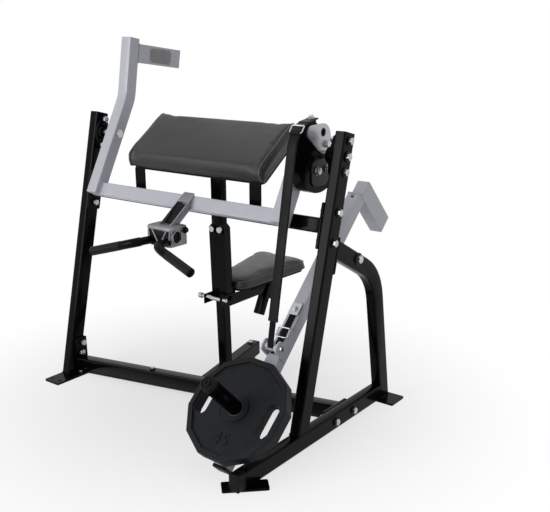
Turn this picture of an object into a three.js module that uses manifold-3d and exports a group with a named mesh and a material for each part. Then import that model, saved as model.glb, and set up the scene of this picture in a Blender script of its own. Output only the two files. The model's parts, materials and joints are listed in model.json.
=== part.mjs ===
// Plate-loaded seated biceps curl machine, in millimetres, +Z up.
// X runs along the crossbars, with the strap and lever on the +X side. The sitter faces -Y.
import * as THREE from "three";
import { mergeVertices } from "three/addons/utils/BufferGeometryUtils.js";
import Module from "manifold-3d";

const wasm = await Module();
wasm.setup();

const rad = THREE.MathUtils.degToRad;
const QUARTER = Math.PI / 2;

// fits
const WELD_GAP = 0.3; // between pieces that are welded or bolted face to face
const RUN_GAP = 1; // between pieces that turn or slide on one another
const CUT_OVER = 4; // overrun of every cut

// frame tube, posts and base
const TUBE_W = 40;
const TUBE_D = 60;
const TUBE_WALL = 3;
const TUBE_ROUND = 6;
const POST_OUTER_X = 590; // from the middle plane to the outer face of each post
const POST_LEAN = rad(13.8);
const POST_TOP_Z = 1033;
const PLATE_T = 8; // foot plates and flanges
const RAIL_FRONT_Y = -259;
const END_BLOCK_L = 35;
const FRONT_FOOT_L = 148;
const FRONT_FOOT_W = 57;
const FRONT_FOOT_TURN = rad(-44);
const FRONT_FOOT_BACK = 54; // foot plate's middle behind the block's front end
const FOOT_CORNER = 5;
const REAR_FOOT_L = 91;
const REAR_FOOT_W = 112;
const REAR_FOOT_OUT = 58; // past the post's outer face
const REAR_FOOT_BEHIND = 15; // past the leg's heel
const LEFT_FOOT_L = 180;
const LEFT_FOOT_W = 80;
const LEFT_FOOT_AHEAD = 85;
const FOOT_HOLE_R = 6;
const FOOT_HOLE_IN = 25;
const FOOT_HOLE_PITCH = 44;

// rear leg
const LEG_FOOT_Y = 591;
const LEG_LEAN = rad(10.6);
const LEG_KNEE_Z = 518;
const LEG_KNEE_R = 196;
const LEG_SLOPE = rad(28.3);
const LEG_PLATE_ABOVE = 42;
const LEG_PLATE_BELOW = 82;

// bolts
const BOLT_R = 6;
const BOLT_HEAD_R = 10.5;
const BOLT_HEAD_H = 8;
const WASHER_R = 14;
const WASHER_T = 3;
const BOLT_SIDES = 6;
const ROUND_SIDES = 20;
const BOLT_HOLE_GAP = 0.5;

// base crossbar, tail and seat post
const BASE_BAR_D = 50;
const BASE_LEFT_Y = 70;
const BASE_RIGHT_Y = 318;
const FLANGE_L = 150;
const LEFT_FLANGE_W = 56;
const LEFT_FLANGE_H = 142;
const FLANGE_BOLT_OFF = 58;
const LEFT_BOLT_LOW_Z = 88;
const LEFT_BOLT_HIGH_Z = 128;
const LEFT_FLANGE_BACK = 24; // behind the post's centreline
const LEFT_BOLT_BACK = 18;
const RIGHT_FLANGE_AHEAD = 16; // flange's middle ahead of the bar's
const VENT_R = 6; // vents that keep the welded tubes open
const TAIL_W = 50;
const TAIL_END_X = -87;
const TAIL_END_Y = 643;
const TAIL_FOOT_R = 20;
const TAIL_FOOT_IN = 40;
const POLE_W = 40;
const POLE_Y = 338;
const POLE_LEAN = rad(-2);
const COLUMN_W = 75;
const COLUMN_D = 35;
const COLUMN_LOW_Z = 345;
const COLUMN_TOP_Z = 652;
const COLUMN_ROUND = 14;
const COLUMN_BOLT_DROP = 26;
const COLUMN_BOLT_OFF = -14;
const COLUMN_BOLT_PITCH = 36;

// upper crossbar
const UPPER_Z = 736;
const UPPER_H = 50;
const UPPER_D = 40;
const UPPER_FLANGE_L = 150;
const UPPER_FLANGE_W = 60;
const UPPER_BOLT_OFF = 49;

// arm pivot
const PIVOT_Z = 955;
const AXLE_R = 12.5;
const AXLE_END = 5;
const BEARING_PITCH = 49;
const BEARING_T = 12;
const BEARING_HUB_R = 31;
const BEARING_HUB_L = 26;
const BEARING_LUG_R = 17;
const CAP_R = 16;
const CAP_L = 6;

// swinging arm
const ARM_TUBE = 50;
const ARM_WALL = 3;
const ARM_ROUND = 4;
const ARM_LEAN = rad(29);
const ARM_DROP = 249; // pivot down to the lower ends of the uprights
const ARM_BEND_UP = 149;
const ARM_TOP_L = 221;
const ARM_TOP_LEAN = rad(10.4);
const ARM_BEND_R = 150;
const ARM_RIGHT_X = 415; // middle of the right upright
const ARM_LEFT_X = -470;
const ARM_RIGHT_UP = 34; // right upright past the pivot
const ARM_BAR_D = 30;
const ARM_BAR_BACK = 12;
const FLAG_T = 8;
const FLAG_H = 70;
const FLAG_L = 228;
const FLAG_DROP = rad(7);
const FLAG_BELOW = 17;

// strap cam
const STRAP_X = 470;
const CAM_W = 52; // over the cheeks
const CAM_BASE_R = 131; // radius of the black cam where the strap leaves it
const CAM_TOP_R = 104;
const CAM_TAIL_R = 122;
const CAM_FROM = rad(104); // from +Y towards +Z
const CAM_FULL = rad(150);
const CAM_HOLD = rad(200);
const CAM_TO = rad(298);
const CAM_REAR = 46;
const CAM_REAR_UP = 12;
const CAM_HUB_UP = 52; // middle of the silver cheek's disc above the pivot
const CAM_HUB_BACK = 3;
const CAM_R = 45;
const NOSE_UP = 74; // middle of the cheek's narrow front end
const NOSE_FRONT = 61;
const NOSE_R = 22;
const CAM_CHEEK_T = 5;
const CAM_HOLE_R = 14;
const CAM_HOLE_UP = 17;
const CAM_HOLE_BACK = 1;
const CAM_BOLT_UP = 31;
const CAM_BOLT_BACK = 18;
const COVER_FRONT = 56; // dark plate bolted under the cheek
const COVER_REAR = 40;
const COVER_LOW = 100;
const COVER_TOP = 14;
const COVER_ROUND = 26;
const COVER_BOLT_UP = -50;
const COVER_BOLT_A = -27;
const COVER_BOLT_B = 27;

// strap
const STRAP_W = 24;
const STRAP_T = 3;
const SLEEVE_W = 37;
const SLEEVE_T = 7;
const CAM_STEPS = 30;
const BELT_STEPS = 10; // of the cam's steps, from its top to where the sleeve leaves it
const SLEEVE_END_Z = 446;

// weight lever
const LEVER_TILT = rad(44.5);
const LEVER_PIVOT_Y = 355;
const LEVER_PIVOT_Z = 603;
const LEVER_TUBE = 50;
const LEVER_FRONT = 817;
const LEVER_REAR = 243;
const LEVER_CAP_L = 10;
const LEVER_HOLE_R = 8;
const LEVER_HOLE_IN = 12;
const LEVER_BOLT_R = 10;
const COUNTER_L = 68;
const COUNTER_H = 217;
const COUNTER_UP = 3;
const HORN_AT = 642;
const HORN_R = 25;
const HORN_L = 243;
const HORN_GROOVE_R = 22;
const HORN_GROOVE_W = 2;
const HORN_CAP_L = 16;
const HORN_BOSS_R = 11;
const HORN_BOSS_H = 4;
const HORN_FLANGE_R = 45;
const HORN_FLANGE_T = 13;
const ROLLER_AT = 402;
const ROLLER_UP = 50;
const ROLLER_R = 13;
const CHEEK_T = 5;
const CHEEK_L = 46;
const CHEEK_TOP = 70;
const CHEEK_LOW = 12;
const CHEEK_ROUND = 12;
const BUCKLE_AT = 335;
const BUCKLE_L = 34;
const BUCKLE_W = 46;
const BUCKLE_T = 4;
const BUCKLE_RIM = 6;
const ANCHOR_AT = 243;
const ANCHOR_L = 46;
const ANCHOR_W = 38;
const ANCHOR_T = 4;

// weight plate
const DISC_R = 182;
const DISC_SIDES = 12;
const DISC_PHASE = rad(12);
const DISC_T = 46;
const DISC_RIM = 20;
const DISC_BEVEL = 5;
const DISC_RECESS = 7;
const DISC_HUB_R = 46;
const DISC_SLOT_R = 127;
const DISC_SLOT_L = 118;
const DISC_SLOT_W = 46;
const DISC_SLOT_ROUND = 20;
const DISC_SLOTS = 2;

// arm pad
const PAD_HALF = 315;
const PAD_MID_X = 4;
const PAD_SLOPE = rad(35);
const PAD_MID_Y = 261;
const PAD_MID_Z = 969;
const PAD_L = 256;
const PAD_T = 56;
const PAD_EDGE = 9; // rounding of the sewn ends
const PAD_TOP_R = 14; // rounding at the upper edge
const PAD_NOSE_R = 32; // rounding at the lower edge, where the arms rest
const PAD_LOW_R = 11;
const PAD_CROWN = 7;
const BOARD_T = 14;
const BOARD_IN = 10;
const SUPPORT_T = 8; // flat bar of the outer supports
const SUPPORT_AHEAD = 14;
const SUPPORT_BEND_R = 14;
const SUPPORT_LAP = 96; // length that lies under the board
const SUPPORT_W = 50;
const SUPPORT_LEFT_X = -287;
const SUPPORT_RIGHT_X = 262;

// seat
const SEAT_FRONT_Y = 365;
const SEAT_L = 372;
const SEAT_FRONT_W = 150;
const SEAT_REAR_W = 265;
const SEAT_TOP_Z = 432;
const SEAT_T = 42;
const SEAT_TILT = rad(3);
const SEAT_CORNER = 48;
const SEAT_EDGE = 13;
const SEAT_BOARD_T = 10;
const SEAT_BOARD_IN = 14;
const STEM_W = 40;
const STEM_D = 30;
const STEM_LEAN = rad(27);
const STEM_L = 186;
const STEM_TOP_Y = 648;
const SLEEVE_WALL = 4;
const SEAT_SLEEVE_L = 70;
const SEAT_SLEEVE_DROP = 42;
const ARM_TUBE_W = 30;
const ARM_TUBE_H = 35;
const SIDE_T = 4;
const SIDE_REACH = 101;
const SIDE_H = 38;
const SIDE_TAIL_H = 28;
const SIDE_LOW_Z = 342;
const PIN_R = 7;
const PIN_IN = 12;
const PIN_OUT = 22;
const SIDE_AHEAD = 45;
const PIN_KNOB_R = 11;
const PIN_KNOB_L = 14;

// handle
const BRACKET_W = 54;
const BRACKET_T = 30;
const BLOCK_W = 112;
const BLOCK_H = 68;
const BLOCK_D = 76;
const POCKET_R = 23; // hexagonal pocket in each end of the block
const POCKET_L = 8;
const BRACKET_OPEN_IN = 16; // where the bracket's open front starts below its top
const BLOCK_Y = 50;
const BRACKET_BACK = 12; // the bracket's foot behind the block's middle
const BLOCK_Z = 662;
const BAR_R = 14;
const BAR_BORE_Y = 37;
const BAR_BORE_Z = 647;
const BAR_EXIT_X = 32; // where the bar leaves the block's front
const BAR_BEND_X = 47;
const BAR_BEND_FRONT = 94;
const BAR_BEND_FALL = 0;
const BAR_END_X = 234;
const BAR_END_FRONT = 127;
const BAR_END_FALL = 52;
const GRIP_R = 16.5;
const GRIP_L = 130;

// finishes
const paint = (color, roughness, metalness) =>
  new THREE.MeshStandardMaterial({ color, roughness, metalness, flatShading: true });
const BLACK = () => paint(0x14151a, 0.32, 0.1);
const SILVER = () => paint(0xc4c6d2, 0.42, 0.55);
const ZINC = () => paint(0xb9bcc2, 0.28, 0.9);
const RUBBER = () => paint(0x1b2026, 0.72, 0);
const VINYL = () => paint(0x2b2e33, 0.55, 0);
const WOOD = () => paint(0x4a3a2a, 0.8, 0);
const WEBBING = () => paint(0x16171b, 0.9, 0);
const GREY = () => paint(0x474a50, 0.45, 0.3);

// geometry tools
const yz = (y, z) => new THREE.Vector3(0, y, z);

/** A manifold solid of a closed geometry. */
function solid(geometry) {
  const bare = geometry.clone();
  bare.deleteAttribute("normal");
  bare.deleteAttribute("uv");
  const merged = mergeVertices(bare);
  return new wasm.Manifold(new wasm.Mesh({
    numProp: 3,
    vertProperties: new Float32Array(merged.attributes.position.array),
    triVerts: new Uint32Array(merged.index.array),
  }));
}

/** A three.js geometry of a manifold solid. */
function surface(manifold) {
  const { vertProperties, triVerts } = manifold.getMesh();
  const geometry = new THREE.BufferGeometry();
  geometry.setAttribute("position", new THREE.BufferAttribute(new Float32Array(vertProperties), 3));
  geometry.setIndex(new THREE.BufferAttribute(new Uint32Array(triVerts), 1));
  geometry.computeVertexNormals();
  return geometry;
}

const join = (...pieces) => surface(pieces.map(solid).reduce((a, b) => a.add(b)));
const cut = (body, ...tools) => surface(tools.map(solid).reduce((a, b) => a.subtract(b), solid(body)));

/** The points of a rectangle with rounded corners, counter-clockwise. */
function roundedRing(width, height, round, steps = 2) {
  const ring = [];
  const corners = [[1, 1], [-1, 1], [-1, -1], [1, -1]];
  corners.forEach(([sx, sy], index) => {
    for (let step = 0; step <= steps; step += 1) {
      const angle = (index + step / steps) * QUARTER;
      ring.push([
        sx * (width / 2 - round) + round * Math.cos(angle),
        sy * (height / 2 - round) + round * Math.sin(angle),
      ]);
    }
  });
  return ring;
}

/** A shape whose edge runs through the points, with round holes [x, y, r]. */
function outline(points, holes = []) {
  const shape = new THREE.Shape(points.map(([x, y]) => new THREE.Vector2(x, y)));
  for (const [x, y, r] of holes) shape.holes.push(new THREE.Path().absarc(x, y, r, 0, 2 * Math.PI, true));
  return shape;
}

/** A loft through stations { at, side, up } of one ring, hollow where a bore ring is given. */
function loft(stations, ring, bore = null) {
  const rings = bore ? [ring, bore] : [ring];
  const count = ring.length;
  const points = [];
  for (const { at, side, up } of stations) {
    for (const loop of rings) {
      for (const [a, b] of loop) points.push(at.clone().addScaledVector(side, a).addScaledVector(up, b));
    }
  }
  const row = count * rings.length;
  const faces = [];
  const quad = (a, b, c, d) => faces.push(a, b, c, a, c, d);
  for (let s = 0; s + 1 < stations.length; s += 1) {
    for (let i = 0; i < count; i += 1) {
      const j = (i + 1) % count;
      const base = s * row;
      quad(base + i, base + j, base + row + j, base + row + i);
      if (bore) quad(base + count + j, base + count + i, base + row + count + i, base + row + count + j);
    }
  }
  const last = (stations.length - 1) * row;
  if (bore) {
    for (let i = 0; i < count; i += 1) {
      const j = (i + 1) % count;
      quad(j, i, count + i, count + j);
      quad(last + i, last + j, last + count + j, last + count + i);
    }
  } else {
    const caps = THREE.ShapeUtils.triangulateShape(ring.map(([x, y]) => new THREE.Vector2(x, y)), []);
    for (const [a, b, c] of caps) faces.push(a, c, b, last + a, last + b, last + c);
  }
  const geometry = new THREE.BufferGeometry().setFromPoints(points);
  const first = stations[0];
  const travel = stations[1].at.clone().sub(first.at);
  const facing = new THREE.Vector3().crossVectors(first.side, first.up).dot(travel);
  if (facing < 0) {
    for (let i = 0; i < faces.length; i += 3) faces.splice(i, 3, faces[i], faces[i + 2], faces[i + 1]);
  }
  geometry.setIndex(faces);
  return geometry;
}

const SIDE_X = new THREE.Vector3(1, 0, 0);

/** Stations along a line in a plane of constant x, the bends rounded, the ends cut to planes. */
function path(x, corners, radius = 0, endNormals = [null, null], steps = 7) {
  const stations = [];
  const add = (point, tangent) => {
    const up = yz(-tangent.z, tangent.y);
    stations.push({ at: new THREE.Vector3(x, point.y, point.z), side: SIDE_X, up, tangent });
  };
  const toward = (a, b) => b.clone().sub(a).normalize();
  add(corners[0], toward(corners[0], corners[1]));
  for (let i = 1; i + 1 < corners.length; i += 1) {
    const into = toward(corners[i - 1], corners[i]);
    const out = toward(corners[i], corners[i + 1]);
    const turn = into.angleTo(out);
    const run = radius * Math.tan(turn / 2);
    const sign = Math.sign(into.y * out.z - into.z * out.y);
    const start = corners[i].clone().addScaledVector(into, -run);
    const centre = start.clone().addScaledVector(yz(-into.z, into.y), sign * radius);
    for (let step = 0; step <= steps; step += 1) {
      const angle = (sign * turn * step) / steps;
      const tangent = into.clone().applyAxisAngle(SIDE_X, angle);
      add(centre.clone().addScaledVector(yz(-tangent.z, tangent.y), -sign * radius), tangent);
    }
  }
  const end = corners[corners.length - 1];
  add(end, toward(corners[corners.length - 2], end));
  endNormals.forEach((normal, index) => {
    if (!normal) return;
    const station = stations[index ? stations.length - 1 : 0];
    const slip = -station.up.dot(normal) / station.tangent.dot(normal);
    station.up = station.up.clone().addScaledVector(station.tangent, slip);
  });
  return stations;
}

/** A hollow rectangular tube, open at both ends, along a path. */
function boxTube(stations, width, depth, wall, round) {
  return loft(
    stations,
    roundedRing(width, depth, round),
    roundedRing(width - 2 * wall, depth - 2 * wall, Math.max(round - wall, wall / 2)),
  );
}

/** Stations from one point to another with given side and up directions. */
const straight = (from, to, side, up) => [{ at: from, side, up }, { at: to, side, up }];

/** An extruded outline lying in the YZ plane, from x0 to x1. */
function sheetX(shape, x0, x1, bevel = 0) {
  const geometry = new THREE.ExtrudeGeometry(shape, {
    depth: x1 - x0 - 2 * bevel, bevelEnabled: bevel > 0, bevelThickness: bevel, bevelSize: bevel,
    bevelOffset: -bevel, bevelSegments: 1, curveSegments: 10,
  });
  return geometry.rotateZ(QUARTER).rotateY(QUARTER).translate(x0 + bevel, 0, 0);
}

/** A rod along X. */
function rodX(radius, x0, x1, y = 0, z = 0, sides = ROUND_SIDES) {
  return new THREE.CylinderGeometry(radius, radius, x1 - x0, sides)
    .rotateZ(-QUARTER).translate((x0 + x1) / 2, y, z);
}

/** A rod along Z. */
function rodZ(radius, z0, z1, x = 0, y = 0, sides = ROUND_SIDES) {
  return new THREE.CylinderGeometry(radius, radius, z1 - z0, sides)
    .rotateX(QUARTER).translate(x, y, (z0 + z1) / 2);
}

/** A hexagon bolt along X through x0 to x1, with a washer and a head or nut at each end. */
function boltX(x0, x1, y, z) {
  return join(
    rodX(BOLT_R, x0 - WASHER_T, x1 + WASHER_T, y, z, ROUND_SIDES),
    rodX(WASHER_R, x1, x1 + WASHER_T, y, z),
    rodX(WASHER_R, x0 - WASHER_T, x0, y, z),
    rodX(BOLT_HEAD_R, x1 + WASHER_T, x1 + WASHER_T + BOLT_HEAD_H, y, z, BOLT_SIDES),
    rodX(BOLT_HEAD_R, x0 - WASHER_T - BOLT_HEAD_H, x0 - WASHER_T, y, z, BOLT_SIDES),
  );
}

const group = new THREE.Group();
const mesh = (name, geometry, material, parent = group) => {
  const node = new THREE.Mesh(geometry, material);
  node.name = name;
  parent.add(node);
  return node;
};

// lines that the pieces share
const postDirection = yz(Math.sin(POST_LEAN), Math.cos(POST_LEAN));
const postBack = yz(Math.cos(POST_LEAN), -Math.sin(POST_LEAN));
const postFace = TUBE_D / 2 / Math.cos(POST_LEAN);
const postY = (z) => z * Math.tan(POST_LEAN) + postFace; // centreline of both posts
const PIVOT = yz(postY(PIVOT_Z), PIVOT_Z);
const fromPivot = (back, up) => yz(PIVOT.y + back, PIVOT.z + up);
const POST_INNER_X = POST_OUTER_X - TUBE_W;
const POST_MID_X = POST_OUTER_X - TUBE_W / 2;
const RAIL_TOP_Z = PLATE_T + TUBE_D;
const UP = new THREE.Vector3(0, 0, 1);
const BACK = new THREE.Vector3(0, 1, 0);

// posts
const postTop = (() => {
  const z = POST_TOP_Z - (TUBE_D / 2) * Math.sin(POST_LEAN);
  return yz(postY(z), z);
})();
const bearingBolts = [1, -1].map((sign) => PIVOT.clone().addScaledVector(postDirection, sign * BEARING_PITCH));
const upperAt = yz(postY(UPPER_Z), UPPER_Z);
const upperBolts = [1, -1].map((sign) => upperAt.clone().addScaledVector(postDirection, sign * UPPER_BOLT_OFF));
const leftBaseBolts = [LEFT_BOLT_LOW_Z, LEFT_BOLT_HIGH_Z].map((z) => yz(postY(z) + LEFT_BOLT_BACK, z));
const railBolts = [1, -1].map((sign) => yz(
  BASE_RIGHT_Y - RIGHT_FLANGE_AHEAD + sign * FLANGE_BOLT_OFF, PLATE_T + WELD_GAP + TUBE_D / 2,
));
const boltHoles = (bolts, middle) => bolts.map(({ y, z }) =>
  rodX(BOLT_R + BOLT_HOLE_GAP, middle - TUBE_W, middle + TUBE_W, y, z));

function post(middle, footZ, extraBolts) {
  const tube = boxTube(
    path(middle, [yz(postY(footZ), footZ), postTop], 0, [UP, null]), TUBE_W, TUBE_D, TUBE_WALL, TUBE_ROUND,
  );
  const holes = boltHoles([...bearingBolts, ...upperBolts, ...extraBolts], middle);
  const bore = rodX(AXLE_R + RUN_GAP, middle - TUBE_W, middle + TUBE_W, PIVOT.y, PIVOT.z);
  return cut(tube, ...holes, bore);
}
mesh("right_post", post(POST_MID_X, RAIL_TOP_Z + WELD_GAP, []), BLACK());
mesh("left_post", post(-POST_MID_X, PLATE_T + WELD_GAP, leftBaseBolts), BLACK());

// rear leg
const legKnee = yz(LEG_FOOT_Y - (LEG_KNEE_Z - PLATE_T) * Math.tan(LEG_LEAN), LEG_KNEE_Z);
const postBackFace = postFace + PLATE_T / Math.cos(POST_LEAN) + 2 * WELD_GAP;
const legTopZ = (() => {
  const slope = Math.tan(LEG_SLOPE);
  const reach = (legKnee.y - postBackFace - postFace) * slope + legKnee.z;
  return reach / (1 + slope * Math.tan(POST_LEAN));
})();
const legTop = yz(legTopZ * Math.tan(POST_LEAN) + postFace + postBackFace, legTopZ);
const legFoot = yz(LEG_FOOT_Y, PLATE_T + WELD_GAP);
const leverPivot = yz(LEVER_PIVOT_Y, LEVER_PIVOT_Z);
mesh("rear_leg", cut(
  boxTube(path(POST_MID_X, [legFoot, legKnee, legTop], LEG_KNEE_R, [UP, postBack]),
    TUBE_W, TUBE_D, TUBE_WALL, TUBE_ROUND),
  rodX(LEVER_BOLT_R + BOLT_HOLE_GAP, POST_INNER_X - TUBE_W, POST_OUTER_X + TUBE_W, leverPivot.y, leverPivot.z),
), BLACK());
const legPlateMid = legTop.clone()
  .addScaledVector(postBack, -(PLATE_T / 2 + WELD_GAP))
  .addScaledVector(postDirection, (LEG_PLATE_ABOVE - LEG_PLATE_BELOW) / 2);
mesh("leg_mount_plate", loft(
  straight(
    legPlateMid.clone().addScaledVector(postBack, -PLATE_T / 2).setX(POST_MID_X),
    legPlateMid.clone().addScaledVector(postBack, PLATE_T / 2).setX(POST_MID_X), SIDE_X, postDirection,
  ), roundedRing(TUBE_W, LEG_PLATE_ABOVE + LEG_PLATE_BELOW, FOOT_CORNER),
), BLACK());

// base rail and feet
const legFront = (z) => LEG_FOOT_Y - (z - PLATE_T) * Math.tan(LEG_LEAN)
  - TUBE_D / 2 / Math.cos(LEG_LEAN) - WELD_GAP;
const railMidZ = PLATE_T + WELD_GAP + TUBE_D / 2;
const railUp = UP.clone().setY(-Math.tan(LEG_LEAN));
const railRing = roundedRing(TUBE_W, TUBE_D, TUBE_ROUND);
const railBore = roundedRing(TUBE_W - 2 * TUBE_WALL, TUBE_D - 2 * TUBE_WALL, TUBE_ROUND - TUBE_WALL);
mesh("right_base_rail", cut(loft([
  { at: new THREE.Vector3(POST_MID_X, RAIL_FRONT_Y, railMidZ), side: SIDE_X, up: UP },
  { at: new THREE.Vector3(POST_MID_X, legFront(railMidZ), railMidZ), side: SIDE_X, up: railUp },
], railRing, railBore), ...boltHoles(railBolts, POST_MID_X)), BLACK());
const blockFront = RAIL_FRONT_Y - WELD_GAP - END_BLOCK_L;
mesh("rail_end_block", loft(straight(
  new THREE.Vector3(POST_MID_X, blockFront, railMidZ),
  new THREE.Vector3(POST_MID_X, RAIL_FRONT_Y - WELD_GAP, railMidZ), SIDE_X, UP,
), railRing), RUBBER());

function footPlate(width, length, holes) {
  const shape = outline(roundedRing(width, length, FOOT_CORNER), holes);
  return new THREE.ExtrudeGeometry(shape, { depth: PLATE_T, bevelEnabled: false });
}
const frontFoot = mesh("front_foot_plate", footPlate(FRONT_FOOT_L, FRONT_FOOT_W, []), BLACK());
frontFoot.position.set(POST_MID_X, blockFront + FRONT_FOOT_BACK, 0);
frontFoot.rotation.z = -FRONT_FOOT_TURN;
const rearFoot = mesh("rear_foot_plate", footPlate(REAR_FOOT_W, REAR_FOOT_L, []), BLACK());
rearFoot.position.set(
  POST_OUTER_X + REAR_FOOT_OUT - REAR_FOOT_W / 2,
  LEG_FOOT_Y + TUBE_D / 2 + REAR_FOOT_BEHIND - REAR_FOOT_L / 2, 0,
);
const leftHoleY = -LEFT_FOOT_L / 2 + FOOT_HOLE_IN;
const leftFoot = mesh("left_foot_plate", footPlate(LEFT_FOOT_W, LEFT_FOOT_L, [
  [FOOT_HOLE_PITCH / 2, leftHoleY, FOOT_HOLE_R], [-FOOT_HOLE_PITCH / 2, leftHoleY, FOOT_HOLE_R],
]), BLACK());
leftFoot.position.set(-POST_OUTER_X + LEFT_FOOT_W / 2, LEFT_FOOT_L / 2 - LEFT_FOOT_AHEAD, 0);

// base crossbar: skewed in plan, with an end flange at each side
const baseLeft = new THREE.Vector3(-POST_INNER_X + PLATE_T + 2 * WELD_GAP, BASE_LEFT_Y, railMidZ);
const baseRight = new THREE.Vector3(POST_INNER_X - PLATE_T - 2 * WELD_GAP, BASE_RIGHT_Y, railMidZ);
const baseRun = baseRight.clone().sub(baseLeft).normalize();
const baseSide = new THREE.Vector3(0, baseRun.x, 0).setY(1 / baseRun.x);
const baseBar = boxTube(straight(baseLeft, baseRight, baseSide, UP), BASE_BAR_D, TUBE_D, TUBE_WALL, TUBE_ROUND);
const leftFlangeZ = PLATE_T + WELD_GAP + LEFT_FLANGE_H / 2;
const leftFlangeY = postY(leftFlangeZ) + LEFT_FLANGE_BACK;
const flangeRing = roundedRing(LEFT_FLANGE_W, LEFT_FLANGE_H, FOOT_CORNER);
const leftFlange = loft(straight(
  new THREE.Vector3(-POST_INNER_X + WELD_GAP, leftFlangeY, leftFlangeZ),
  new THREE.Vector3(baseLeft.x, leftFlangeY, leftFlangeZ), BACK, UP,
), flangeRing);
const rightFlange = loft(straight(
  new THREE.Vector3(baseRight.x, BASE_RIGHT_Y - RIGHT_FLANGE_AHEAD, railMidZ),
  new THREE.Vector3(POST_INNER_X - WELD_GAP, BASE_RIGHT_Y - RIGHT_FLANGE_AHEAD, railMidZ), BACK, UP,
), roundedRing(FLANGE_L, TUBE_D, FOOT_CORNER));
/** Bolts from a flange's inner face through to the outer face of a post or rail. */
const flangeBolts = (bolts, sign) => bolts.map(({ y, z }) => {
  const ends = [sign * (POST_INNER_X - WELD_GAP - PLATE_T), sign * (POST_OUTER_X + WELD_GAP)];
  ends.sort((a, b) => a - b);
  return boltX(ends[0], ends[1], y, z);
});
const vent = (x0, x1, y, z) => rodX(VENT_R, x0, x1, y, z);
mesh("base_crossbar", cut(
  join(baseBar, leftFlange, rightFlange, ...flangeBolts(leftBaseBolts, -1), ...flangeBolts(railBolts, 1)),
  vent(-POST_INNER_X, baseLeft.x + CUT_OVER, BASE_LEFT_Y, railMidZ),
  vent(baseRight.x - CUT_OVER, POST_INNER_X, BASE_RIGHT_Y, railMidZ),
), BLACK());

// tail tube and seat post, on the crossbar's middle
const baseMid = baseLeft.clone().lerp(baseRight, 1 / 2);
const tailAcross = baseRun.clone();
const tailRun = new THREE.Vector3(-baseRun.y, baseRun.x, 0);
const tailEnd = new THREE.Vector3(TAIL_END_X, TAIL_END_Y, railMidZ);
const tailL = tailEnd.clone().sub(baseMid).dot(tailRun);
const tailStart = tailEnd.clone().addScaledVector(tailRun, BASE_BAR_D / 2 + WELD_GAP - tailL);
mesh("base_tail", boxTube(
  straight(tailStart, tailEnd, tailAcross, UP), TAIL_W, TUBE_D, TUBE_WALL, TUBE_ROUND,
), BLACK());
const tailFootAt = tailEnd.clone().addScaledVector(tailRun, -TAIL_FOOT_IN);
mesh("tail_foot", rodZ(TAIL_FOOT_R, 0, PLATE_T, tailFootAt.x, tailFootAt.y), RUBBER());

const columnUp = yz(Math.sin(POLE_LEAN), Math.cos(POLE_LEAN));
const poleY = (z) => POLE_Y + (z - COLUMN_LOW_Z) * Math.tan(POLE_LEAN);
mesh("seat_post", boxTube(
  path(0, [yz(poleY(RAIL_TOP_Z), RAIL_TOP_Z + 2 * WELD_GAP), yz(poleY(COLUMN_LOW_Z), COLUMN_LOW_Z - WELD_GAP)],
    0, [UP, columnUp]), POLE_W, POLE_W, TUBE_WALL, ARM_ROUND,
), BLACK());
const columnY = COLUMN_D / 2;
const columnBack = yz(Math.cos(POLE_LEAN), -Math.sin(POLE_LEAN));
const columnTop = (COLUMN_TOP_Z - COLUMN_LOW_Z) / Math.cos(POLE_LEAN);
const columnRing = [
  [-COLUMN_W / 2, 0], [COLUMN_W / 2, 0], [COLUMN_W / 2, columnTop - COLUMN_ROUND],
  [COLUMN_W / 2 - COLUMN_ROUND, columnTop], [COLUMN_ROUND - COLUMN_W / 2, columnTop],
  [-COLUMN_W / 2, columnTop - COLUMN_ROUND],
];
const columnFoot = yz(poleY(COLUMN_LOW_Z), COLUMN_LOW_Z);
const column = loft(straight(
  columnFoot.clone().addScaledVector(columnBack, -columnY),
  columnFoot.clone().addScaledVector(columnBack, columnY), SIDE_X, columnUp,
), columnRing);
const columnBoltAt = (x) => {
  const foot = columnFoot.clone()
    .addScaledVector(columnUp, columnTop - COLUMN_BOLT_DROP).addScaledVector(columnBack, -columnY);
  const bolt = new THREE.CylinderGeometry(BOLT_HEAD_R, BOLT_HEAD_R, BOLT_HEAD_H, BOLT_SIDES);
  return bolt.translate(x, foot.y - BOLT_HEAD_H / 2 + WELD_GAP, foot.z);
};
mesh("seat_column", join(column, columnBoltAt(COLUMN_BOLT_OFF), columnBoltAt(COLUMN_BOLT_OFF + COLUMN_BOLT_PITCH)),
  BLACK());

// upper crossbar: between the posts, bolted through its end flanges
const upperMid = upperAt.clone().addScaledVector(postBack, TUBE_D / 2 - UPPER_D / 2);
const upperEndX = POST_INNER_X - WELD_GAP;
const upperTube = boxTube(straight(
  upperMid.clone().setX(PLATE_T - upperEndX), upperMid.clone().setX(upperEndX - PLATE_T), postBack, postDirection,
), UPPER_D, UPPER_H, TUBE_WALL, TUBE_ROUND);
const upperFlange = (x0, x1) => loft(
  straight(upperAt.clone().setX(x0), upperAt.clone().setX(x1), postBack, postDirection),
  roundedRing(UPPER_FLANGE_W, UPPER_FLANGE_L, FOOT_CORNER),
);
mesh("upper_crossbar", cut(join(
  upperTube, upperFlange(-upperEndX, PLATE_T - upperEndX), upperFlange(upperEndX - PLATE_T, upperEndX),
  ...flangeBolts(upperBolts, 1), ...flangeBolts(upperBolts, -1),
), vent(-upperEndX - CUT_OVER, upperEndX + CUT_OVER, upperMid.y, upperMid.z)), BLACK());

// arm pad, its board and three supports
const padAlong = yz(Math.cos(PAD_SLOPE), Math.sin(PAD_SLOPE)); // up the slope
const padOut = yz(-Math.sin(PAD_SLOPE), Math.cos(PAD_SLOPE)).negate(); // away from the padding
const padMid = new THREE.Vector3(PAD_MID_X, PAD_MID_Y, PAD_MID_Z);
const padTurn = new THREE.Matrix4().makeBasis(SIDE_X, padAlong, padOut.clone().negate()).setPosition(padMid);
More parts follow.
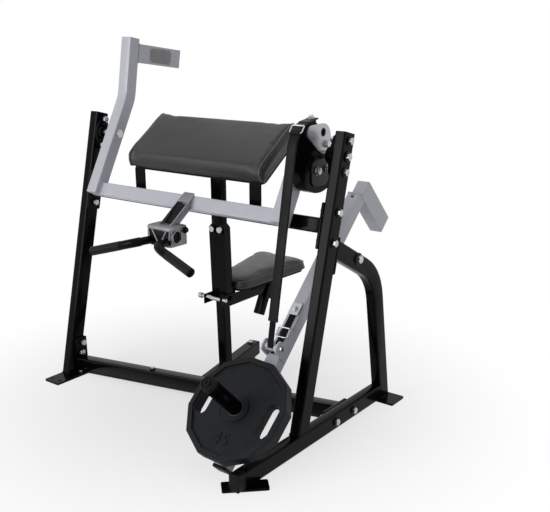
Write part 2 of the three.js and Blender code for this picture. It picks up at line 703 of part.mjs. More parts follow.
/** A cushion on z = 0: crown on top, sides drawn in to a rounded edge. */
function cushion(ringPoints, thick, edge, crown, rows = 5, inner = 4) {
  const count = ringPoints.length;
  const mid = ringPoints.reduce(([x, y], [a, b]) => [x + a / count, y + b / count], [0, 0]);
  const points = [];
  const ring = (share, drawn, z) => {
    for (const [a, b] of ringPoints) {
      const dx = a - mid[0];
      const dy = b - mid[1];
      const reach = Math.hypot(dx, dy);
      const scale = share * (1 - drawn / reach);
      points.push(new THREE.Vector3(mid[0] + dx * scale, mid[1] + dy * scale, z));
    }
  };
  ring(1, edge / 2, 0);
  const wallTop = thick - crown - edge;
  ring(1, 0, edge / 2);
  ring(1, 0, wallTop);
  for (let row = 1; row <= rows; row += 1) {
    const angle = (row / rows) * QUARTER;
    ring(1, edge * (1 - Math.cos(angle)), wallTop + edge * Math.sin(angle));
  }
  for (let row = 1; row <= inner; row += 1) {
    const share = 1 - row / (inner + 1);
    ring(share, edge, thick - crown * share ** 4);
  }
  const rings = points.length / count;
  const faces = [];
  for (let r = 0; r + 1 < rings; r += 1) {
    for (let i = 0; i < count; i += 1) {
      const j = (i + 1) % count;
      const [a, b, c, d] = [r * count + i, r * count + j, (r + 1) * count + j, (r + 1) * count + i];
      faces.push(a, b, c, a, c, d);
    }
  }
  const top = points.push(new THREE.Vector3(mid[0], mid[1], thick)) - 1;
  const low = points.push(new THREE.Vector3(mid[0], mid[1], 0)) - 1;
  for (let i = 0; i < count; i += 1) {
    const j = (i + 1) % count;
    faces.push((rings - 1) * count + i, (rings - 1) * count + j, top, j, i, low);
  }
  return new THREE.BufferGeometry().setFromPoints(points).setIndex(faces);
}
/** The ring with extra points on its long sides. */
function finer(ring, step) {
  return ring.flatMap(([x, y], index) => {
    const [a, b] = ring[(index + 1) % ring.length];
    const parts = Math.max(1, Math.round(Math.hypot(a - x, b - y) / step));
    return Array.from({ length: parts }, (_, i) => [x + ((a - x) * i) / parts, y + ((b - y) * i) / parts]);
  });
}
/** The pad's section: a rolled nose at the lower edge and a low crown on top. */
function padSection() {
  const corners = [
    [-PAD_L / 2 + PAD_LOW_R, -PAD_T + PAD_LOW_R, PAD_LOW_R, 2],
    [PAD_L / 2 - PAD_LOW_R, -PAD_T + PAD_LOW_R, PAD_LOW_R, 3],
    [PAD_L / 2 - PAD_TOP_R, -PAD_CROWN - PAD_TOP_R, PAD_TOP_R, 0],
    [-PAD_L / 2 + PAD_NOSE_R, -PAD_CROWN - PAD_NOSE_R, PAD_NOSE_R, 1],
  ];
  const steps = 4;
  const crownSteps = 6;
  const flat = PAD_L - PAD_TOP_R - PAD_NOSE_R;
  const ring = corners.flatMap(([a, b, radius, turn]) => Array.from({ length: steps + 1 }, (_, i) => {
    const angle = (turn + i / steps) * QUARTER;
    return [a + radius * Math.cos(angle), b + radius * Math.sin(angle)];
  }));
  const crown = Array.from({ length: crownSteps - 1 }, (_, i) => {
    const share = (i + 1) / crownSteps;
    return [PAD_L / 2 - PAD_TOP_R - flat * share, -PAD_CROWN * (2 * share - 1) ** 2];
  });
  ring.splice(3 * (steps + 1), 0, ...crown);
  return ring.map(([a, b]) => [a, b + PAD_T / 2]);
}
const padStations = [-1, 1].flatMap((side) => {
  const drawn = [0, 1, 2, 3].map((step) => {
    const angle = (step / 3) * QUARTER;
    const scale = 1 - (PAD_EDGE * (1 - Math.sin(angle))) / (PAD_T / 2);
    return {
      at: new THREE.Vector3(side * (PAD_HALF - PAD_EDGE * (1 - Math.cos(angle))), 0, -PAD_T / 2),
      side: new THREE.Vector3(0, 1 - (2 * PAD_EDGE * (1 - Math.sin(angle))) / PAD_L, 0),
      up: new THREE.Vector3(0, 0, scale),
    };
  });
  return side < 0 ? drawn : drawn.reverse();
});
const armPad = loft(padStations, padSection()).applyMatrix4(padTurn);
mesh("arm_pad", armPad, VINYL());
const boardRing = roundedRing(2 * (PAD_HALF - BOARD_IN), PAD_L - 2 * BOARD_IN, BOARD_T);
const padBoard = new THREE.ExtrudeGeometry(outline(boardRing), { depth: BOARD_T, bevelEnabled: false })
  .translate(0, 0, -PAD_T - BOARD_T - WELD_GAP).applyMatrix4(padTurn);
mesh("pad_board", padBoard, WOOD());

const boardUnder = padMid.clone().addScaledVector(padOut, PAD_T + BOARD_T + 2 * WELD_GAP);
const underNormal = yz(padOut.y, padOut.z);
/** A support from a point straight up to the board's underside. */
function padSupport(x, fromY, fromZ, width, depth, lowNormal) {
  const topZ = boardUnder.z - ((fromY - boardUnder.y) * padOut.y) / padOut.z;
  return boxTube(path(x, [yz(fromY, fromZ), yz(fromY, topZ)], 0, [lowNormal, underNormal]),
    width, depth, TUBE_WALL, ARM_ROUND);
}
const upperTop = upperMid.clone().addScaledVector(postDirection, UPPER_H / 2 + WELD_GAP);
const supportY = upperTop.y - SUPPORT_AHEAD;
const supportFoot = yz(supportY, upperTop.z + SUPPORT_AHEAD * Math.tan(POST_LEAN));
const lapNear = boardUnder.clone().addScaledVector(padOut, SUPPORT_T / 2 + WELD_GAP);
const supportBend = lapNear.clone().addScaledVector(padAlong, (supportY - lapNear.y) / padAlong.y);
const supportEnd = supportBend.clone().addScaledVector(padAlong, SUPPORT_LAP);
for (const [name, x] of [["pad_support_left", SUPPORT_LEFT_X], ["pad_support_right", SUPPORT_RIGHT_X]]) {
  mesh(name, loft(
    path(x, [supportFoot, supportBend, supportEnd], SUPPORT_BEND_R, [postDirection, null], 4),
    roundedRing(SUPPORT_W, SUPPORT_T, SUPPORT_T / 4, 1),
  ), BLACK());
}
const columnEnd = yz(poleY(COLUMN_TOP_Z), COLUMN_TOP_Z + WELD_GAP);
mesh("pad_support_centre", padSupport(
  0, columnEnd.y, columnEnd.z, SUPPORT_W, COLUMN_D, columnUp,
), BLACK());

// bearings: two-bolt flanges on the posts' inner faces
function bearing(sign) {
  const lug = BEARING_PITCH;
  const lean = Math.acos((BEARING_HUB_R - BEARING_LUG_R) / lug);
  const arc = (cx, r, from, to) => {
    const steps = 8;
    return Array.from({ length: steps + 1 }, (_, i) => {
      const angle = from + ((to - from) * i) / steps;
      return [cx + r * Math.cos(angle), r * Math.sin(angle)];
    });
  };
  const edge = [
    ...arc(lug, BEARING_LUG_R, -lean, lean), ...arc(0, BEARING_HUB_R, lean, Math.PI - lean),
    ...arc(-lug, BEARING_LUG_R, Math.PI - lean, Math.PI + lean),
    ...arc(0, BEARING_HUB_R, Math.PI + lean, 2 * Math.PI - lean),
  ];
  const bolt = BOLT_R + BOLT_HOLE_GAP;
  const flange = new THREE.ExtrudeGeometry(outline(edge, [[lug, 0, bolt], [-lug, 0, bolt]]), {
    depth: BEARING_T, bevelEnabled: false, curveSegments: 8,
  });
  const hub = rodZ(BEARING_HUB_R - PLATE_T / 2, 0, BEARING_HUB_L);
  const bore = rodZ(AXLE_R + WELD_GAP, -CUT_OVER, BEARING_HUB_L + CUT_OVER);
  const turn = new THREE.Matrix4().makeBasis(
    postDirection.clone().multiplyScalar(sign), postBack, new THREE.Vector3(-sign, 0, 0),
  ).setPosition(sign * (POST_INNER_X - WELD_GAP), PIVOT.y, PIVOT.z);
  return cut(join(flange, hub), bore).applyMatrix4(turn);
}
for (const [side, sign] of [["right", 1], ["left", -1]]) {
  mesh(`bearing_${side}`, bearing(sign), BLACK());
  bearingBolts.forEach(({ y, z }, index) => {
    const inner = sign * (POST_INNER_X - BEARING_T - 2 * WELD_GAP);
    const outer = sign * (POST_OUTER_X + WELD_GAP);
    mesh(`bearing_bolt_${side}_${index + 1}`, boltX(Math.min(inner, outer), Math.max(inner, outer), y, z), ZINC());
  });
}

// swinging arm: two uprights, their crossbar and the axle ends
const arm = new THREE.Group();
arm.position.set(0, PIVOT.y, PIVOT.z);
group.add(arm);
const armUp = yz(Math.sin(ARM_LEAN), Math.cos(ARM_LEAN));
const armBack = yz(Math.cos(ARM_LEAN), -Math.sin(ARM_LEAN));
const armLow = armUp.clone().multiplyScalar(-ARM_DROP);
const armBend = armUp.clone().multiplyScalar(ARM_BEND_UP);
const topUp = yz(Math.sin(ARM_TOP_LEAN), Math.cos(ARM_TOP_LEAN));
const topBack = yz(Math.cos(ARM_TOP_LEAN), -Math.sin(ARM_TOP_LEAN));
const armTop = armBend.clone().addScaledVector(topUp, ARM_TOP_L);
const axleHole = (x) => rodX(AXLE_R + WELD_GAP, x - ARM_TUBE, x + ARM_TUBE);
mesh("arm_upright_left", cut(boxTube(
  path(ARM_LEFT_X, [armLow, armBend, armTop], ARM_BEND_R), ARM_TUBE, ARM_TUBE, ARM_WALL, ARM_ROUND,
), axleHole(ARM_LEFT_X)), SILVER(), arm);
mesh("arm_upright_right", cut(boxTube(
  path(ARM_RIGHT_X, [armLow, armUp.clone().multiplyScalar(ARM_RIGHT_UP)]), ARM_TUBE, ARM_TUBE, ARM_WALL, ARM_ROUND,
), axleHole(ARM_RIGHT_X)), SILVER(), arm);
const armBarMid = armLow.clone().addScaledVector(armUp, ARM_TUBE / 2).addScaledVector(armBack, ARM_BAR_BACK);
const armBarLeft = ARM_LEFT_X + ARM_TUBE / 2 + WELD_GAP;
const armBarRight = ARM_RIGHT_X - ARM_TUBE / 2 - WELD_GAP;
mesh("arm_crossbar", boxTube(straight(
  armBarMid.clone().setX(armBarLeft), armBarMid.clone().setX(armBarRight), armBack, armUp,
), ARM_BAR_D, ARM_TUBE, ARM_WALL, ARM_ROUND), SILVER(), arm);

/** An axle end: a shaft through the upright and bearing, with a cap outside the post. */
function axle(inner, outer) {
  const capStart = Math.sign(outer) * (POST_OUTER_X + RUN_GAP);
  const ends = [capStart, outer].sort((a, b) => a - b);
  const shaft = [inner, outer].sort((a, b) => a - b);
  return join(rodX(AXLE_R, shaft[0], shaft[1]), rodX(CAP_R, ends[0], ends[1]));
}
const axleOuter = POST_OUTER_X + RUN_GAP + CAP_L;
mesh("axle_left", axle(ARM_LEFT_X + ARM_TUBE / 2 + AXLE_END, -axleOuter), ZINC(), arm);
mesh("axle_right", axle(ARM_RIGHT_X - ARM_TUBE / 2 - AXLE_END, axleOuter), ZINC(), arm);

// flag plate on the left upright's rear face
const flagStart = armTop.clone().addScaledVector(topUp, -FLAG_BELOW)
  .addScaledVector(topBack, ARM_TUBE / 2 + WELD_GAP);
const flagLow = flagStart.clone().addScaledVector(topUp, -FLAG_H);
const flagRun = yz(Math.cos(FLAG_DROP), -Math.sin(FLAG_DROP));
const flagShape = outline([flagStart, flagLow, flagLow.clone().addScaledVector(flagRun, FLAG_L),
  flagStart.clone().addScaledVector(flagRun, FLAG_L)].map(({ y, z }) => [y, z]));
mesh(
  "flag_plate", sheetX(flagShape, ARM_LEFT_X + ARM_TUBE / 2 - FLAG_T, ARM_LEFT_X + ARM_TUBE / 2), SILVER(), arm,
);

// cam carrier and cam: beside the right upright, in line with the strap
const camX0 = STRAP_X - CAM_W / 2;
const camX1 = STRAP_X + CAM_W / 2;
const polar = (radius, angle) => [radius * Math.cos(angle), radius * Math.sin(angle)];
/** The cam's radius: it grows to its full size in front and eases off at the tail. */
function camRadius(angle) {
  const ease = (from, to, a, b) => a + (b - a) * THREE.MathUtils.smoothstep(angle, from, to);
  return angle < CAM_FULL
    ? ease(CAM_FROM, CAM_FULL, CAM_TOP_R, CAM_BASE_R)
    : ease(CAM_HOLD, CAM_TO, CAM_BASE_R, CAM_TAIL_R);
}
const arcPoints = (from, to, steps, radius) => Array.from({ length: steps + 1 }, (_, i) => {
  const angle = from + ((to - from) * i) / steps;
  return polar(radius(angle), angle);
});
const camOutline = [
  ...arcPoints(CAM_FROM, CAM_TO, CAM_STEPS, camRadius),
  [CAM_REAR, -COVER_LOW / 2], [CAM_REAR, CAM_REAR_UP], [0, CAM_HUB_UP],
];
const cheekHole = [CAM_HUB_BACK + CAM_HOLE_BACK, CAM_HUB_UP + CAM_HOLE_UP, CAM_HOLE_R];
const cheekBolt = [CAM_BOLT_BACK, CAM_BOLT_UP];
const coverBolts = [[COVER_BOLT_A, COVER_BOLT_UP], [COVER_BOLT_B, COVER_BOLT_UP]];
const discX0 = camX0 + CAM_CHEEK_T + WELD_GAP;
const discX1 = camX1 - CAM_CHEEK_T - WELD_GAP;
mesh("cam_disc", cut(
  join(sheetX(outline(camOutline), discX0, discX1), rodX(CAM_REAR, discX0, discX1)),
  rodX(AXLE_R + WELD_GAP, camX0 - CUT_OVER, camX1 + CUT_OVER),
  rodX(CAM_HOLE_R, camX0, camX1, cheekHole[0], cheekHole[1]),
  ...[cheekBolt, ...coverBolts].map(([y, z]) => rodX(BOLT_R + BOLT_HOLE_GAP, camX0, camX1, y, z)),
), BLACK(), arm);

/** The cam cheek's outline: a large disc and a small one in front, joined by their tangents. */
function cheekPoints() {
  const disc = [CAM_HUB_BACK, CAM_HUB_UP];
  const nose = [-NOSE_FRONT, NOSE_UP];
  const [dy, dz] = [nose[0] - disc[0], nose[1] - disc[1]];
  const toNose = Math.atan2(dz, dy);
  const touch = Math.acos((CAM_R - NOSE_R) / Math.hypot(dy, dz));
  const arc = ([y, z], radius, from, to, steps) => Array.from({ length: steps + 1 }, (_, i) => {
    const angle = from + ((to - from) * i) / steps;
    return [y + radius * Math.cos(angle), z + radius * Math.sin(angle)];
  });
  return [
    ...arc(disc, CAM_R, toNose + touch, toNose - touch + 2 * Math.PI, 20),
    ...arc(nose, NOSE_R, toNose - touch, toNose + touch, 8),
  ];
}
const camCheek = (x0) => sheetX(outline(cheekPoints(), [cheekHole]), x0, x0 + CAM_CHEEK_T);
const throughBolt = ([y, z]) => [
  rodX(BOLT_R, camX0, camX1, y, z),
  rodX(BOLT_HEAD_R, camX1 - WELD_GAP, camX1 + BOLT_HEAD_H, y, z, BOLT_SIDES),
];
mesh("cam_cheeks", cut(
  join(camCheek(camX0), camCheek(camX1 - CAM_CHEEK_T), ...throughBolt(cheekBolt)),
  rodX(AXLE_R + WELD_GAP, camX0 - CUT_OVER, camX1 + CUT_OVER),
), SILVER(), arm);
const coverShape = new THREE.Shape();
coverShape.moveTo(-COVER_FRONT, COVER_ROUND - COVER_LOW);
coverShape.absarc(COVER_ROUND - COVER_FRONT, COVER_ROUND - COVER_LOW, COVER_ROUND, 2 * QUARTER, 3 * QUARTER, false);
coverShape.absarc(COVER_REAR - COVER_ROUND, COVER_ROUND - COVER_LOW, COVER_ROUND, 3 * QUARTER, 4 * QUARTER, false);
coverShape.absarc(COVER_REAR - COVER_ROUND, -COVER_TOP - COVER_ROUND, COVER_ROUND, 0, QUARTER, false);
coverShape.absarc(COVER_ROUND - COVER_FRONT, -COVER_TOP - COVER_ROUND, COVER_ROUND, QUARTER, 2 * QUARTER, false);
coverShape.closePath();
mesh("cam_cover", join(
  sheetX(coverShape, camX1 - CAM_CHEEK_T, camX1), ...coverBolts.flatMap(throughBolt),
), GREY(), arm);

/** A band of even thickness that lies on the cam between two angles. */
function camBand(from, to, lift, thick, width) {
  const stations = arcPoints(from, to, BELT_STEPS, camRadius).map(([y, z], i, all) => {
    const [ay, az] = all[Math.max(i - 1, 0)];
    const [by, bz] = all[Math.min(i + 1, all.length - 1)];
    const tangent = yz(by - ay, bz - az).normalize();
    const up = yz(tangent.z, -tangent.y);
    return { at: new THREE.Vector3(STRAP_X, y, z).addScaledVector(up, lift + thick / 2), side: SIDE_X, up };
  });
  return loft(stations, roundedRing(width, thick, thick / 4, 1));
}
const strapLeave = CAM_FROM + ((CAM_TO - CAM_FROM) * BELT_STEPS) / CAM_STEPS;
mesh("cam_belt", camBand(CAM_FROM, strapLeave, WELD_GAP, SLEEVE_T, SLEEVE_W), WEBBING(), arm);

// handle bracket, block and curl bar
const bracketTop = armBarMid.clone().addScaledVector(armBack, -ARM_BAR_D / 2 - WELD_GAP);
const blockMid = yz(BLOCK_Y - PIVOT.y, BLOCK_Z - PIVOT.z);
const bracketEnd = blockMid.clone().add(yz(BRACKET_BACK, BLOCK_H / 2 + WELD_GAP));
const bracketRun = bracketEnd.clone().sub(bracketTop).normalize();
const bracketFront = yz(-bracketRun.z, bracketRun.y)
  .multiplyScalar(Math.sign(bracketRun.z)).multiplyScalar(BRACKET_T / 2);
mesh("handle_bracket", cut(
  boxTube(path(0, [bracketTop, bracketEnd], 0, [armBack, UP]), BRACKET_W, BRACKET_T, TUBE_WALL, ARM_ROUND),
  loft(path(0, [
    bracketTop.clone().addScaledVector(bracketRun, BRACKET_OPEN_IN).add(bracketFront),
    bracketEnd.clone().addScaledVector(bracketRun, BRACKET_T).add(bracketFront),
  ]), roundedRing(BRACKET_W - 2 * TUBE_WALL, BRACKET_T / 2, TUBE_WALL / 2, 1)),
), SILVER(), arm);
const boreAt = yz(BAR_BORE_Y - PIVOT.y, BAR_BORE_Z - PIVOT.z);
/** A closed bar of round section through points, mitred so that each facet is flat. */
function roundBar(points, radius, sides = 10) {
  const ring = Array.from({ length: sides }, (_, i) => {
    const angle = (2 * Math.PI * i) / sides;
    return [radius * Math.cos(angle), radius * Math.sin(angle)];
  });
  let leg = points[1].clone().sub(points[0]).normalize();
  let up = UP.clone().addScaledVector(leg, -leg.z).normalize();
  let side = new THREE.Vector3().crossVectors(up, leg);
  const stations = points.map((point, i) => {
    const next = i + 1 < points.length && i > 0 ? points[i + 1].clone().sub(point).normalize() : leg;
    const mitre = leg.clone().add(next).normalize();
    const slip = (vector) => vector.clone().addScaledVector(leg, -vector.dot(mitre) / leg.dot(mitre));
    const station = { at: point, side: slip(side), up: slip(up) };
    const turn = new THREE.Quaternion().setFromUnitVectors(leg, next);
    side = side.clone().applyQuaternion(turn);
    up = up.clone().applyQuaternion(turn);
    leg = next;
    return station;
  });
  return loft(stations, ring);
}
/** The points of a polyline with its corners rounded by a share of their legs. */
function softened(points, share = 1 / 4, steps = 4) {
  const out = [points[0]];
  for (let i = 1; i + 1 < points.length; i += 1) {
    const a = points[i].clone().lerp(points[i - 1], share);
    const b = points[i].clone().lerp(points[i + 1], share);
    const curve = new THREE.QuadraticBezierCurve3(a, points[i], b);
    out.push(...curve.getPoints(steps));
  }
  out.push(points[points.length - 1]);
  return out;
}
const barPoints = [-1, 1].flatMap((side) => {
  const half = [
    new THREE.Vector3(side * BAR_EXIT_X, 0, 0),
    new THREE.Vector3(side * BAR_BEND_X, -BAR_BEND_FRONT, -BAR_BEND_FALL),
    new THREE.Vector3(side * BAR_END_X, -BAR_END_FRONT, -BAR_END_FALL),
  ];
  return side < 0 ? half.reverse() : half;
});
mesh("handle_block", cut(
  loft(straight(
    blockMid.clone().setY(blockMid.y - BLOCK_D / 2), blockMid.clone().setY(blockMid.y + BLOCK_D / 2), SIDE_X, UP,
  ), roundedRing(BLOCK_W, BLOCK_H, ARM_ROUND)),
  roundBar(softened(barPoints), BAR_R + WELD_GAP).translate(0, boreAt.y, boreAt.z),
  rodX(POCKET_R, -BLOCK_W, POCKET_L - BLOCK_W / 2, boreAt.y, blockMid.z, BOLT_SIDES),
  rodX(POCKET_R, BLOCK_W / 2 - POCKET_L, BLOCK_W, boreAt.y, blockMid.z, BOLT_SIDES),
), SILVER(), arm);

const handle = new THREE.Group();
handle.position.copy(boreAt);
arm.add(handle);
mesh("curl_bar", roundBar(softened(barPoints), BAR_R), BLACK(), handle);
for (const [name, side] of [["grip_left", 0], ["grip_right", 1]]) {
  const end = barPoints.at(-side);
  const bend = barPoints.at(side ? -2 : 1);
  const along = bend.clone().sub(end).normalize();
  const stop = end.clone().addScaledVector(along, GRIP_L);
  const sleeve = roundBar([end.clone().addScaledVector(along, -WELD_GAP), stop], GRIP_R, ROUND_SIDES / 2);
  const bore = [end.clone().addScaledVector(along, -CUT_OVER), stop.clone().addScaledVector(along, CUT_OVER)];
  const inside = roundBar(bore,
    BAR_R + WELD_GAP, ROUND_SIDES / 2);
  mesh(name, cut(sleeve, inside), RUBBER(), handle);
}

// weight lever: drawn level, turned about its pivot
const lever = new THREE.Group();
lever.position.copy(leverPivot).setX(0);
lever.rotation.x = LEVER_TILT;
group.add(lever);
const half = LEVER_TUBE / 2;
const spanX = new THREE.Vector3(1, 0, 0);
const along = (s, n, x = STRAP_X) => new THREE.Vector3(x, s, n);
const hornAt = new THREE.Vector3(STRAP_X, -HORN_AT, 0);
mesh("lever_tube", cut(
  boxTube(
    straight(along(-LEVER_FRONT, 0), along(LEVER_REAR, 0), spanX, UP), LEVER_TUBE, LEVER_TUBE, ARM_WALL, ARM_ROUND,
  ),
  rodX(LEVER_BOLT_R + WELD_GAP, STRAP_X - LEVER_TUBE, STRAP_X + LEVER_TUBE),
  rodZ(LEVER_HOLE_R, 0, LEVER_TUBE, STRAP_X, LEVER_REAR - LEVER_HOLE_IN),
), SILVER(), lever);
mesh("lever_bumper", loft(straight(
  along(-LEVER_FRONT - WELD_GAP - LEVER_CAP_L, 0), along(-LEVER_FRONT - WELD_GAP, 0), spanX, UP,
), roundedRing(LEVER_TUBE, LEVER_TUBE, ARM_ROUND)), RUBBER(), lever);
mesh("counterweight", loft(straight(
  along(LEVER_REAR + WELD_GAP, COUNTER_UP - COUNTER_H / 2),
  along(LEVER_REAR + WELD_GAP + COUNTER_L, COUNTER_UP - COUNTER_H / 2), spanX, UP,
), roundedRing(LEVER_TUBE, COUNTER_H, TUBE_WALL)), SILVER(), lever);
const hubX0 = STRAP_X + half + RUN_GAP;
mesh("lever_pivot_bolt", join(
  rodX(LEVER_BOLT_R, STRAP_X - half - RUN_GAP, POST_OUTER_X + WELD_GAP),
  rodX(WASHER_R + WASHER_T, STRAP_X - half - RUN_GAP - BOLT_HEAD_H, STRAP_X - half - RUN_GAP, 0, 0, BOLT_SIDES),
  rodX(WASHER_R + WASHER_T, hubX0, POST_INNER_X - WELD_GAP),
  rodX(WASHER_R + WASHER_T, POST_OUTER_X + WELD_GAP, POST_OUTER_X + WELD_GAP + BOLT_HEAD_H, 0, 0, BOLT_SIDES),
), ZINC()).position.copy(leverPivot);

const hornBase = half + WELD_GAP;
const hornEnd = hornBase + HORN_L - HORN_BOSS_H;
const capStart = hornEnd - HORN_CAP_L;
mesh("loading_horn", join(
  rodZ(HORN_FLANGE_R, hornBase, hornBase + HORN_FLANGE_T, hornAt.x, hornAt.y),
  rodZ(HORN_R, hornBase, capStart - HORN_GROOVE_W, hornAt.x, hornAt.y),
  rodZ(HORN_GROOVE_R, hornBase, hornEnd - WELD_GAP, hornAt.x, hornAt.y),
  rodZ(HORN_R, capStart, hornEnd, hornAt.x, hornAt.y),
  rodZ(HORN_BOSS_R, hornBase, hornEnd + HORN_BOSS_H, hornAt.x, hornAt.y),
), BLACK(), lever);

// roller bracket, roller, buckle and anchor on the lever
const cheekRing = roundedRing(CHEEK_L, CHEEK_TOP + CHEEK_LOW, CHEEK_ROUND);
const cheekSide = (sign) => {
  const near = STRAP_X + sign * (half + WELD_GAP);
  const far = near + sign * CHEEK_T;
  const mid = (CHEEK_TOP - CHEEK_LOW) / 2;
  return loft(straight(
    along(-ROLLER_AT, mid, Math.min(near, far)), along(-ROLLER_AT, mid, Math.max(near, far)), BACK, UP,
  ), cheekRing);
};
mesh("strap_roller", join(
  cheekSide(1), cheekSide(-1),
  rodX(ROLLER_R, STRAP_X - half - CHEEK_T, STRAP_X + half + CHEEK_T, -ROLLER_AT, ROLLER_UP),
), SILVER(), lever);
const ringBase = half + 2 * WELD_GAP + STRAP_T;
const buckleRing = roundedRing(BUCKLE_W, BUCKLE_L, BUCKLE_RIM);
const buckleHole = roundedRing(BUCKLE_W - 2 * BUCKLE_RIM, BUCKLE_L - 2 * BUCKLE_RIM, BUCKLE_RIM / 2);
mesh("strap_buckle", loft(straight(
  along(-BUCKLE_AT, ringBase), along(-BUCKLE_AT, ringBase + BUCKLE_T), spanX, BACK,
), buckleRing, buckleHole), ZINC(), lever);
const anchorBase = half + STRAP_T + 2 * WELD_GAP;
mesh("strap_anchor", join(
  loft(straight(
    along(-ANCHOR_AT, anchorBase), along(-ANCHOR_AT, anchorBase + ANCHOR_T), spanX, BACK,
  ), roundedRing(ANCHOR_W, ANCHOR_L, ARM_ROUND)),
  rodZ(BOLT_HEAD_R, anchorBase, anchorBase + BOLT_HEAD_H, STRAP_X, -ANCHOR_AT, BOLT_SIDES),
), ZINC(), lever);
mesh("strap_return", loft(straight(
  along(-ROLLER_AT, half + WELD_GAP + STRAP_T / 2), along(ANCHOR_L / 2 - ANCHOR_AT, half + WELD_GAP + STRAP_T / 2),
  spanX, UP,
), roundedRing(STRAP_W, STRAP_T, STRAP_T / 4, 1)), WEBBING(), lever);

// weight plate on the horn
const disc = new THREE.Group();
disc.position.set(STRAP_X, -HORN_AT, hornBase + HORN_FLANGE_T + WELD_GAP);
lever.add(disc);
const discRing = (radius) => Array.from({ length: DISC_SIDES }, (_, i) => {
  const angle = DISC_PHASE + (2 * Math.PI * i) / DISC_SIDES;
  return [radius * Math.cos(angle), radius * Math.sin(angle)];
});
const extrudeZ = (points, z0, z1) => new THREE.ExtrudeGeometry(
  outline(points), { depth: z1 - z0, bevelEnabled: false },
)
  .translate(0, 0, z0);
const slots = Array.from({ length: DISC_SLOTS }, (_, i) => {
  const angle = (2 * Math.PI * i) / DISC_SLOTS;
  return extrudeZ(roundedRing(DISC_SLOT_L, DISC_SLOT_W, DISC_SLOT_ROUND, 3), -CUT_OVER, DISC_T + CUT_OVER)
    .translate(0, DISC_SLOT_R, 0).rotateZ(angle - QUARTER + DISC_PHASE - Math.PI / DISC_SIDES);
});
const recess = join(extrudeZ(discRing(DISC_R - DISC_RIM), DISC_T - DISC_RECESS, DISC_T + CUT_OVER));
const recessRing = cut(recess, rodZ(DISC_HUB_R, 0, DISC_T + 2 * CUT_OVER));
const discBody = new THREE.ExtrudeGeometry(outline(discRing(DISC_R)), {
  depth: DISC_T - 2 * DISC_BEVEL, bevelEnabled: true, bevelThickness: DISC_BEVEL,
  bevelSize: DISC_BEVEL, bevelOffset: -DISC_BEVEL, bevelSegments: 2,
}).translate(0, 0, DISC_BEVEL);
mesh("weight_plate", cut(
  discBody, recessRing, ...slots,
  rodZ(HORN_R + RUN_GAP, -CUT_OVER, DISC_T + CUT_OVER),
), RUBBER(), disc);

// strap from the cam down to the roller
const [leaveY, leaveZ] = polar(CAM_BASE_R + WELD_GAP + SLEEVE_T / 2, strapLeave);
const rollerAt = leverPivot.clone()
  .add(yz(-ROLLER_AT * Math.cos(LEVER_TILT) - ROLLER_UP * Math.sin(LEVER_TILT),
    ROLLER_UP * Math.cos(LEVER_TILT) - ROLLER_AT * Math.sin(LEVER_TILT)));
const strapLean = Math.atan2(
  PIVOT.y + leaveY - rollerAt.y + ROLLER_R + WELD_GAP + STRAP_T, PIVOT.z + leaveZ - rollerAt.z,
);
const strapTop = fromPivot(leaveY - WELD_GAP * Math.sin(strapLean), leaveZ - WELD_GAP * Math.cos(strapLean));
const strapL = (strapTop.z - rollerAt.z) / Math.cos(strapLean);
const strap = new THREE.Group();
strap.position.set(STRAP_X, strapTop.y, strapTop.z);
strap.rotation.x = -strapLean;
group.add(strap);
const strapMid = -(strapTop.z - SLEEVE_END_Z) / Math.cos(strapLean);
mesh("strap_sleeve", loft([
  { at: yz(0, 0), side: spanX, up: BACK },
  { at: yz(0, strapMid), side: spanX, up: BACK },
], roundedRing(SLEEVE_W, SLEEVE_T, SLEEVE_T / 4, 1)), WEBBING(), strap);
mesh("strap_web", loft([
  { at: yz(0, strapMid - WELD_GAP), side: spanX, up: BACK },
  { at: yz(0, -strapL), side: spanX, up: BACK },
], roundedRing(STRAP_W, STRAP_T, STRAP_T / 4, 1)), WEBBING(), strap);

// seat: carriage on the column, stem, board and cushion
const seatTurn = SEAT_TILT;
const seatAlong = yz(Math.cos(seatTurn), Math.sin(seatTurn));
const seatUp = yz(-Math.sin(seatTurn), Math.cos(seatTurn));
const seatFront = yz(SEAT_FRONT_Y, SEAT_TOP_Z - SEAT_T);
const seatMatrix = new THREE.Matrix4().makeBasis(
  SIDE_X, seatAlong, seatUp,
).setPosition(0, seatFront.y, seatFront.z);
/** The seat's outline: narrow in front, wide behind, with rounded corners. */
function seatRing(inset) {
  const front = SEAT_FRONT_W / 2 - inset;
  const rear = SEAT_REAR_W / 2 - inset;
  const near = inset;
  const far = SEAT_L - inset;
  const corners = [[rear, far], [-rear, far], [-front, near], [front, near]];
  const r = SEAT_CORNER - inset;
  const steps = 5;
  return corners.flatMap(([x, y], i) => {
    const [px, py] = corners[(i + 3) % corners.length];
    const [nx, ny] = corners[(i + 1) % corners.length];
    const here = new THREE.Vector2(x, y);
    const before = new THREE.Vector2(px, py).sub(here).normalize();
    const after = new THREE.Vector2(nx, ny).sub(here).normalize();
    const a = here.clone().addScaledVector(before, r);
    const b = here.clone().addScaledVector(after, r);
    const curve = new THREE.QuadraticBezierCurve(a, here, b);
    return curve.getPoints(steps).map((point) => [point.x, point.y]);
  });
}
const SEAT_STEP = 60;
const seat = new THREE.Group();
group.add(seat);
mesh("seat_cushion", cushion(finer(seatRing(0), SEAT_STEP), SEAT_T, SEAT_EDGE, PAD_CROWN)
  .applyMatrix4(seatMatrix), VINYL(), seat);
mesh("seat_board", new THREE.ExtrudeGeometry(outline(seatRing(SEAT_BOARD_IN)), {
  depth: SEAT_BOARD_T, bevelEnabled: false,
}).translate(0, 0, -SEAT_BOARD_T - WELD_GAP).applyMatrix4(seatMatrix), WOOD(), seat);
const stemAlong = yz(Math.sin(STEM_LEAN), Math.cos(STEM_LEAN));
